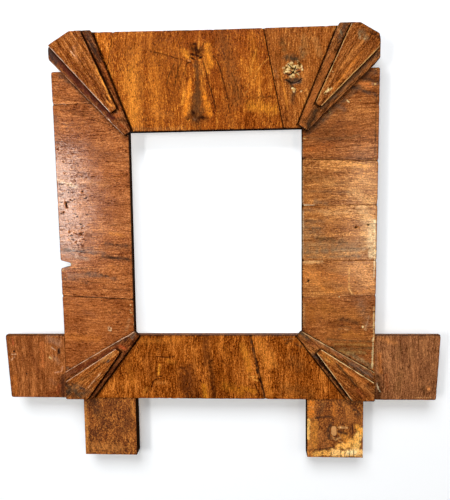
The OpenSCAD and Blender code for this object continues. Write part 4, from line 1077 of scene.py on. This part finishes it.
# Ear veneer: the same walnut on the ends of the bottom rail, that stand out on both
# sides. It is thinner, and darker with old dirt, and the right ear is duller too. Dark
# strips beside the wedges are painted shade.
russet = ("#5c2808", "#864a20", "#9c582a", "#c07840")
drab = ("#562c12", "#825030", "#965f38", "#bc7e4e")
left_ear_figure = [
    ("#4e3222", 2.4, 1.1, [(-188.5, -133.5), (-188.5, -138)]),
    # The dark strip beside the wedge is painted shade
    ("#52301e", 5, 0.9, [(-184, -168), (-186, -190)]),
    ("#bd6a34", 3.6, 0.7, [(-208.5, -126.5), (-208.5, -155)]),
    ("#bb6a2a", 3.4, 0.7, [(-243, -167.5), (-243, -190)]),
    ("#6c3514", 3, 0.7, [(-223.5, -124.5), (-220.5, -145)]),
    ("#63300f", 1.2, 0.9, [(-233, -137), (-230, -153), (-228.5, -165.5)]),
    ("#5a2a10", 1.1, 0.9, [(-226.5, -169.5), (-225.5, -192)]),
    ("#70381a", 4, 0.6, [(-218.5, -147), (-214.5, -161.5)]),
    ("#9a7054", 6, 0.6, [(-200, -121.5), (-188, -126.5)]),
    ("#a57a58", 4, 0.5, [(-194, -143), (-190, -149)]),
    ("#6c3012", 5, 0.7, [(-204.5, -188), (-190, -185.5)]),
    ("#7a4a30", 4, 0.6, [(-200, -171.5), (-194, -175.5)]),
    # The dark strip beside the wedge is painted shade
    ("#4e2a1a", 3.4, 0.85, [(-185, -165.5), (-185, -192)]),
    ("#a8532a", 2.4, 0.7, [(-190, -177.5), (-192, -185.5)]),
    ("#c8906a", 0.9, 0.8, [(-185, -155), (-186, -160.5), (-194, -162)]),
    ("#cf5f38", 0.8, 0.7, [(-244, -119.5), (-243.5, -128.5)]),
    ("#e0b890", 0.7, 0.9, [(-246, -140), (-241, -140)]),
    ("#d8a880", 0.6, 0.8, [(-247, -147), (-242, -143)]),
    ("#dcae84", 0.9, 0.8, [(-197, -132), (-192.5, -135)]),
    ("#7a4020", 2, 0.6, [(-241, -153), (-239, -161.5)]),
]
left_ear_marks = [
    ("hole", [(-243, -136.5)], 1, 0.6), ("hole", [(-188.5, -135), (-188.5, -138)], 0.5, 0.3),
    ("chip", [(-200, -143.5), (-198.5, -145.5)], 0.7, 0.3), ("hole", [(-228.5, -163.5)], 0.8, 0.4),
]
right_ear_figure = [
    ("#bf7a40", 4, 0.6, [(186.5, -120.5), (203, -126.5)]),
    ("#b76a2e", 3, 0.7, [(184.5, -139), (186.5, -161.5)]), ("#6b4424", 5, 0.6, [(208, -131), (205, -141)]),
    ("#64401f", 5, 0.6, [(209, -159.5), (205, -181.5)]),
    # The dark strip beside the wedge is painted shade
    ("#412510", 3, 0.9, [(184, -163.5), (185.5, -191)]),
    ("#93502a", 3, 0.6, [(193, -163.5), (194, -179.5)]),
    ("#8a5a34", 4, 0.6, [(219, -128.5), (221.5, -145)]),
    ("#7a4c2a", 6, 0.5, [(229.5, -169.5), (235.5, -181.5)]),
    ("#b47848", 5, 0.5, [(233.5, -124.5), (235.5, -139)]),
    ("#d98a4a", 2.8, 1, [(240, -178.5), (241.5, -179.5)]),
    ("#f4dcae", 0.5, 1.5, [(182.5, -173), (183.5, -178), (186, -183)]),
    ("#c9925c", 0.8, 0.8, [(225.5, -189.5), (243.5, -189.5)]),
    ("#503018", 1.4, 0.7, [(235.5, -175.5), (235.5, -185.5)]),
    ("#a8683c", 5, 0.4, [(225.5, -153), (225.5, -173.5)]),
]
for node, tones, figure, marks, shift in (("left_ear_veneer", russet, left_ear_figure, left_ear_marks, 0.19),
                                          ("right_ear_veneer", drab, right_ear_figure, [], 0.43)):
    wood = walnut("dark_walnut_" + node, PLUMB, tones, shift)
    board("leaf_" + node, node, wood, marks=marks, figure=figure, seed=round(shift * 100))

# Wedges: two boards stacked on each corner and glued, the lower one dark and the
# upper one lighter, with the fibres running out along the wedge. Their top arrises
# are rubbed pale, and old wax has darkened their sides.
plum = ("#341405", "#643014", "#84481f", "#aa6a38")
chestnut = ("#42200a", "#7e481e", "#99592a", "#c88444")
nut = ("#482004", "#884414", "#a65e26", "#d68a44")
dull_nut = ("#42200a", "#7a3e12", "#965422", "#c47c3c")
base_figures = {
    "top_left": [
        ("#52261a", 5, 1.5, [(-180, 203), (-152, 172), (-128, 147), (-114, 133)]),
        ("#483630", 6, 1, [(-184, 208), (-176, 196)]), ("#46342a", 4, 0.85, [(-139, 224), (-132, 205)]),
        ("#8a4418", 3, 0.9, [(-123, 192), (-113, 168)]), ("#3a281e", 3, 0.9, [(-133, 208), (-126, 194)]),
        ("#8c4a1c", 3, 0.7, [(-116, 172), (-106, 150)]), ("#bc662c", 3, 0.9, [(-113, 136), (-106, 133)]),
        ("#a0501e", 2, 0.7, [(-104, 143), (-106, 138)]), ("#3a1c0e", 3.4, 0.8, [(-106, 131), (-97, 127)]),
        ("#8a3c14", 2, 0.8, [(-105, 124), (-100, 120)]),
    ],
    "top_right": [
        ("#4e3a2c", 3.6, 0.9, [(136, 208), (142, 224)]),
        ("#a25c28", 4.4, 1.6, [(101, 130), (110, 152), (129, 192)]),
        ("#94805c", 1, 0.9, [(137, 218), (139, 213)]), ("#46301e", 5, 1.2, [(104, 119), (111, 134)]),
        ("#b0662e", 2, 0.9, [(95, 121), (99, 118)]),
        ("#7c5234", 3.4, 1.3, [(118, 138), (140, 158), (165, 182)]),
        ("#24120a", 0.8, 0.95, [(128, 142), (145, 157), (160, 171)]),
        ("#7e6048", 1.4, 0.7, [(127, 146), (133, 150)]), ("#5a4434", 4, 0.6, [(170, 187), (177, 193)]),
        ("#9c5c28", 1.6, 0.6, [(110, 146), (124, 180)]),
    ],
    "bottom_left": [
        ("#602c16", 4.4, 1.2, [(-174, -161), (-140, -143), (-118, -130)]),
        ("#44281a", 3.4, 1.1, [(-124, -127), (-104, -119)]),
        ("#c05a2c", 2.6, 0.9, [(-113, -129), (-107, -131)]),
        ("#5f5446", 2.8, 0.85, [(-99, -118), (-95, -112)]),
        ("#5e2f18", 2.2, 0.7, [(-107, -135), (-131, -168), (-145, -188)]),
        ("#8a5232", 3, 0.8, [(-177, -163), (-168, -158)]),
    ],
    "bottom_right": [
        ("#7c5238", 3, 0.7, [(112, -121), (141, -139), (173, -159)]),
        ("#a8603c", 1.4, 0.7, [(134, -137), (141, -140)]), ("#6a5a4c", 3, 0.7, [(151, -149), (175, -163)]),
        ("#4a3c2c", 3.2, 1.1, [(95, -112), (104, -120)]), ("#7a3e20", 2.6, 0.8, [(104, -123), (115, -129)]),
        ("#2c160c", 3.4, 2, [(111, -138), (130, -162), (147, -184)]),
        ("#4e4034", 1.6, 0.8, [(108, -137), (114, -143)]),
    ],
}
cap_figures = {
    "top_left": [
        ("#5e2c10", 1.6, 0.8, [(-160, 214), (-140, 184), (-122, 156)]),
        ("#7a3c18", 2, 0.7, [(-170, 208), (-135, 168)]), ("#c98450", 2.2, 0.6, [(-154, 208), (-150, 194)]),
        ("#e0b890", 0.8, 0.9, [(-157, 204), (-153, 199)]),
        ("#62300f", 1.2, 0.7, [(-150, 212), (-136, 184), (-124, 164)]),
        ("#6a2c0c", 3, 0.7, [(-130, 160), (-119, 147)]), ("#3a1a0a", 1.8, 0.9, [(-121, 155), (-117, 152)]),
        ("#e8923a", 1.2, 0.95, [(-119, 149), (-113, 144)]),
        ("#e8963e", 1, 1.3, [(-131.5, 190), (-122.5, 170), (-113.5, 149)]),
        ("#c87830", 0.8, 0.9, [(-111, 146), (-110, 143)]),
    ],
    "top_right": [
        ("#6a3410", 1.4, 0.8, [(168, 206), (152, 188), (134, 168)]),
        ("#cc823c", 2, 0.6, [(166, 212), (150, 194), (138, 178)]),
        ("#7c5e3e", 5, 0.9, [(158, 214), (163, 208)]),
        ("#a88a60", 1, 0.9, [(156, 213), (158, 208), (163, 207)]),
        ("#3e2414", 2.4, 0.7, [(166, 216), (177, 208)]),
        ("#5c2c0c", 1, 0.8, [(124, 154), (132, 172), (146, 200)]),
        ("#d27c2c", 2.2, 0.6, [(130, 156), (148, 180), (160, 194)]),
        ("#74380f", 1, 0.7, [(118, 150), (128, 174), (142, 206)]),
        ("#7c4418", 3, 0.5, [(172, 200), (160, 190)]),
    ],
    "bottom_left": [
        ("#4e3826", 10, 1, [(-172, -178), (-162, -186)]), ("#36281e", 5, 0.9, [(-178, -172), (-175, -186)]),
        ("#5a4430", 6, 0.7, [(-166, -175), (-152, -182)]),
        ("#2c2626", 1.8, 0.9, [(-160, -177), (-156, -178)]),
        ("#c48a4c", 3, 0.6, [(-121, -135), (-134, -145)]),
        ("#4c4a44", 1.6, 0.9, [(-128, -146), (-126, -144)]),
        ("#4a2c14", 0.9, 0.9, [(-160, -166), (-140, -153), (-126, -143)]),
        ("#dcae80", 0.8, 0.8, [(-151, -176), (-136, -159)]),
        ("#54341a", 1, 0.8, [(-150, -178), (-136, -164), (-122, -148)]),
        ("#54341a", 1.2, 0.7, [(-170, -174), (-150, -162)]),
    ],
    "bottom_right": [
        ("#c27a30", 3, 0.7, [(120, -136), (130, -146)]), ("#e8b060", 0.9, 0.9, [(122, -141), (127, -145)]),
        ("#54300f", 1, 0.9, [(132, -143), (150, -162), (164, -178)]),
        ("#4a2a10", 1.6, 0.8, [(136, -150), (158, -175)]), ("#6e3a18", 4, 0.6, [(150, -177), (172, -183)]),
        ("#4a2c18", 4, 0.7, [(168, -172), (176, -180)]), ("#bc6c30", 3, 0.6, [(144, -153), (166, -168)]),
        ("#8a3e1c", 3, 0.5, [(158, -176), (164, -184)]),
    ],
}
cap_marks = {
    "top_right": [
        ("chip", [(121, 152.5), (127, 156.5)], 1.2, 0.3), ("chip", [(124.5, 155), (124, 157)], 0.8, 0.3),
        ("chip", [(129, 174)], 0.4, 0.2),
    ],
    "bottom_right": [
        ("crack", [(134, -146), (150, -164), (158, -174)], 0.25, 0.3),
    ],
}
for corner, fibre, rail_side, low_tones, high_tones, low_rub, high_rub, rubbed in (
        ("top_left", 122, 21, plum, nut, [(-136, 0.3)], [(-138, 1.2)], "#d0b096"),
        ("top_right", 56, 159, chestnut, dull_nut, [], [(-45, 1.3), (156, 0.7)], "#e8b468"),
        ("bottom_left", 41, -37, plum, nut, [(120, 1.0)], [(123, 1.2)], "#d8a884"),
        ("bottom_right", -41, -143, chestnut, dull_nut, [(60, 0.6)], [(57, 1.4), (-144, 1.1), (180, 1.0)],
         "#f0c88a")):
    wood = walnut("waxed_walnut_lower_" + corner, fibre, low_tones, 0.2 + fibre / 100, band=4.0, waves=4.0,
                  rubbed=rubbed)
    board("lower_wedge_" + corner, "wedge_base_" + corner, wood, ease=0.6, ragged=0.1,
          figure=base_figures[corner], above=[("wedge_cap_" + corner, rail_side)], rubbed=low_rub,
          rounds=1, seed=fibre + 50)
    wood = walnut("waxed_walnut_upper_" + corner, fibre, high_tones, 0.5 + fibre / 100, band=4.0, waves=4.0,
                  worn_lip=0.4, rubbed=rubbed)
    board("upper_wedge_" + corner, "wedge_cap_" + corner, wood, ease=0.6, ragged=0.1,
          marks=cap_marks.get(corner, ()), figure=cap_figures[corner], rubbed=high_rub, rounds=1,
          seed=fibre + 90)

# Pegs and plug: turned softwood pegs lock the laps, and an oval plug of pale end
# grain fills an old hole in the right foot.
PLUG_X = 134.2 * MM
PLUG_Z = -231 * MM
# Cut across its fibres, pine shows fine circles of growth, pale and without shine
end_grain, tree = new_material("end_grain_pine")
spot = add(tree, "TexCoord").outputs["Object"]
place = add(tree, "VectorMath", {0: spot, 1: (-PLUG_X, 0, -PLUG_Z)})
circles = add(tree, "TexWave", {"Vector": place, "Scale": 330.0, "Distortion": 1.5, "Detail": 2.0},
              wave_type="RINGS", rings_direction="Y")
colour = add(tree, "ValToRGB", {"Fac": circles}, ramp=[(0.1, "#b4763a"), (0.8, "#f2b26c")])
skin = add(tree, "Bump", {"Height": circles, "Distance": 0.2 * MM})
wood = add(tree, "BsdfPrincipled", {"Base Color": colour, "Roughness": 0.75, "Normal": skin})
add(tree, "OutputMaterial", {"Surface": wood})
for name, node in (("softwood_pegs", "lap_pegs"), ("oval_plug", "foot_plug")):
    eased_copy(name, node, "frame", end_grain, 0.3)

# Hangers: stamped brass plates whose upper ends are rolled into a knuckle, each with
# a bent iron wire ring, held to the back of the top rail by two slotted iron screws.


def metal(name, tones, rough, grit):
    """Old metal: patchy tarnish over a worn shine. A metal keeps the default IOR."""
    material, tree = new_material(name)
    spot = add(tree, "TexCoord").outputs["Object"]
    patches = add(tree, "TexNoise", {"Vector": spot, "Scale": 190.0, "Detail": 5.0, "Roughness": 0.65})
    fine = add(tree, "TexNoise", {"Vector": spot, "Scale": grit, "Detail": 3.0})
    colour = add(tree, "ValToRGB", {"Fac": patches}, ramp=[(0.38, tones[0]), (0.62, tones[1])])
    dull = add(tree, "Math", {0: patches, 1: -0.5, 2: rough + 0.25}, operation="MULTIPLY_ADD",
               use_clamp=True)
    skin = add(tree, "Bump", {"Height": fine, "Distance": 0.06 * MM, "Strength": 0.6})
    plate = add(tree, "BsdfPrincipled", {"Base Color": colour, "Metallic": 1.0, "Roughness": dull,
                                         "Normal": skin})
    add(tree, "OutputMaterial", {"Surface": plate})
    return material


# Brass that nobody touches goes brown, with a dull yellow shine between the spots
stamped_brass = metal("tarnished_stamped_brass", ("#5e4620", "#b8954f"), 0.35, 1500.0)
# Drawn iron is nearly black with age, with a faint grey shine
drawn_iron = metal("dark_drawn_iron", ("#2e2723", "#6d6560"), 0.45, 2200.0)
for side in ("left", "right"):
    plate = "hanger_plate_" + side
    ring = "hanger_ring_" + side
    eased_copy("brass_plate_" + side, plate, "frame", stamped_brass, 0.18)
    eased_copy("iron_ring_" + side, ring, ring, drawn_iron, 0.1)
eased_copy("plate_screws", "hanger_screws", "frame", drawn_iron, 0.15)

# Turn buttons: four cut brass buttons that swing over the rebate to hold the pane
# and its backboard, each on a slotted brass screw that it turns on.
# Hands have kept this brass a little brighter
cut_brass = metal("worn_cut_brass", ("#6d5426", "#c4a25c"), 0.3, 1300.0)
for level in ("upper", "lower"):
    for side in ("left", "right"):
        button = f"turn_button_{level}_{side}"
        eased_copy(f"brass_button_{level}_{side}", button, button, cut_brass, 0.35)
eased_copy("button_screws_brass", "button_screws", "frame", cut_brass, 0.15)
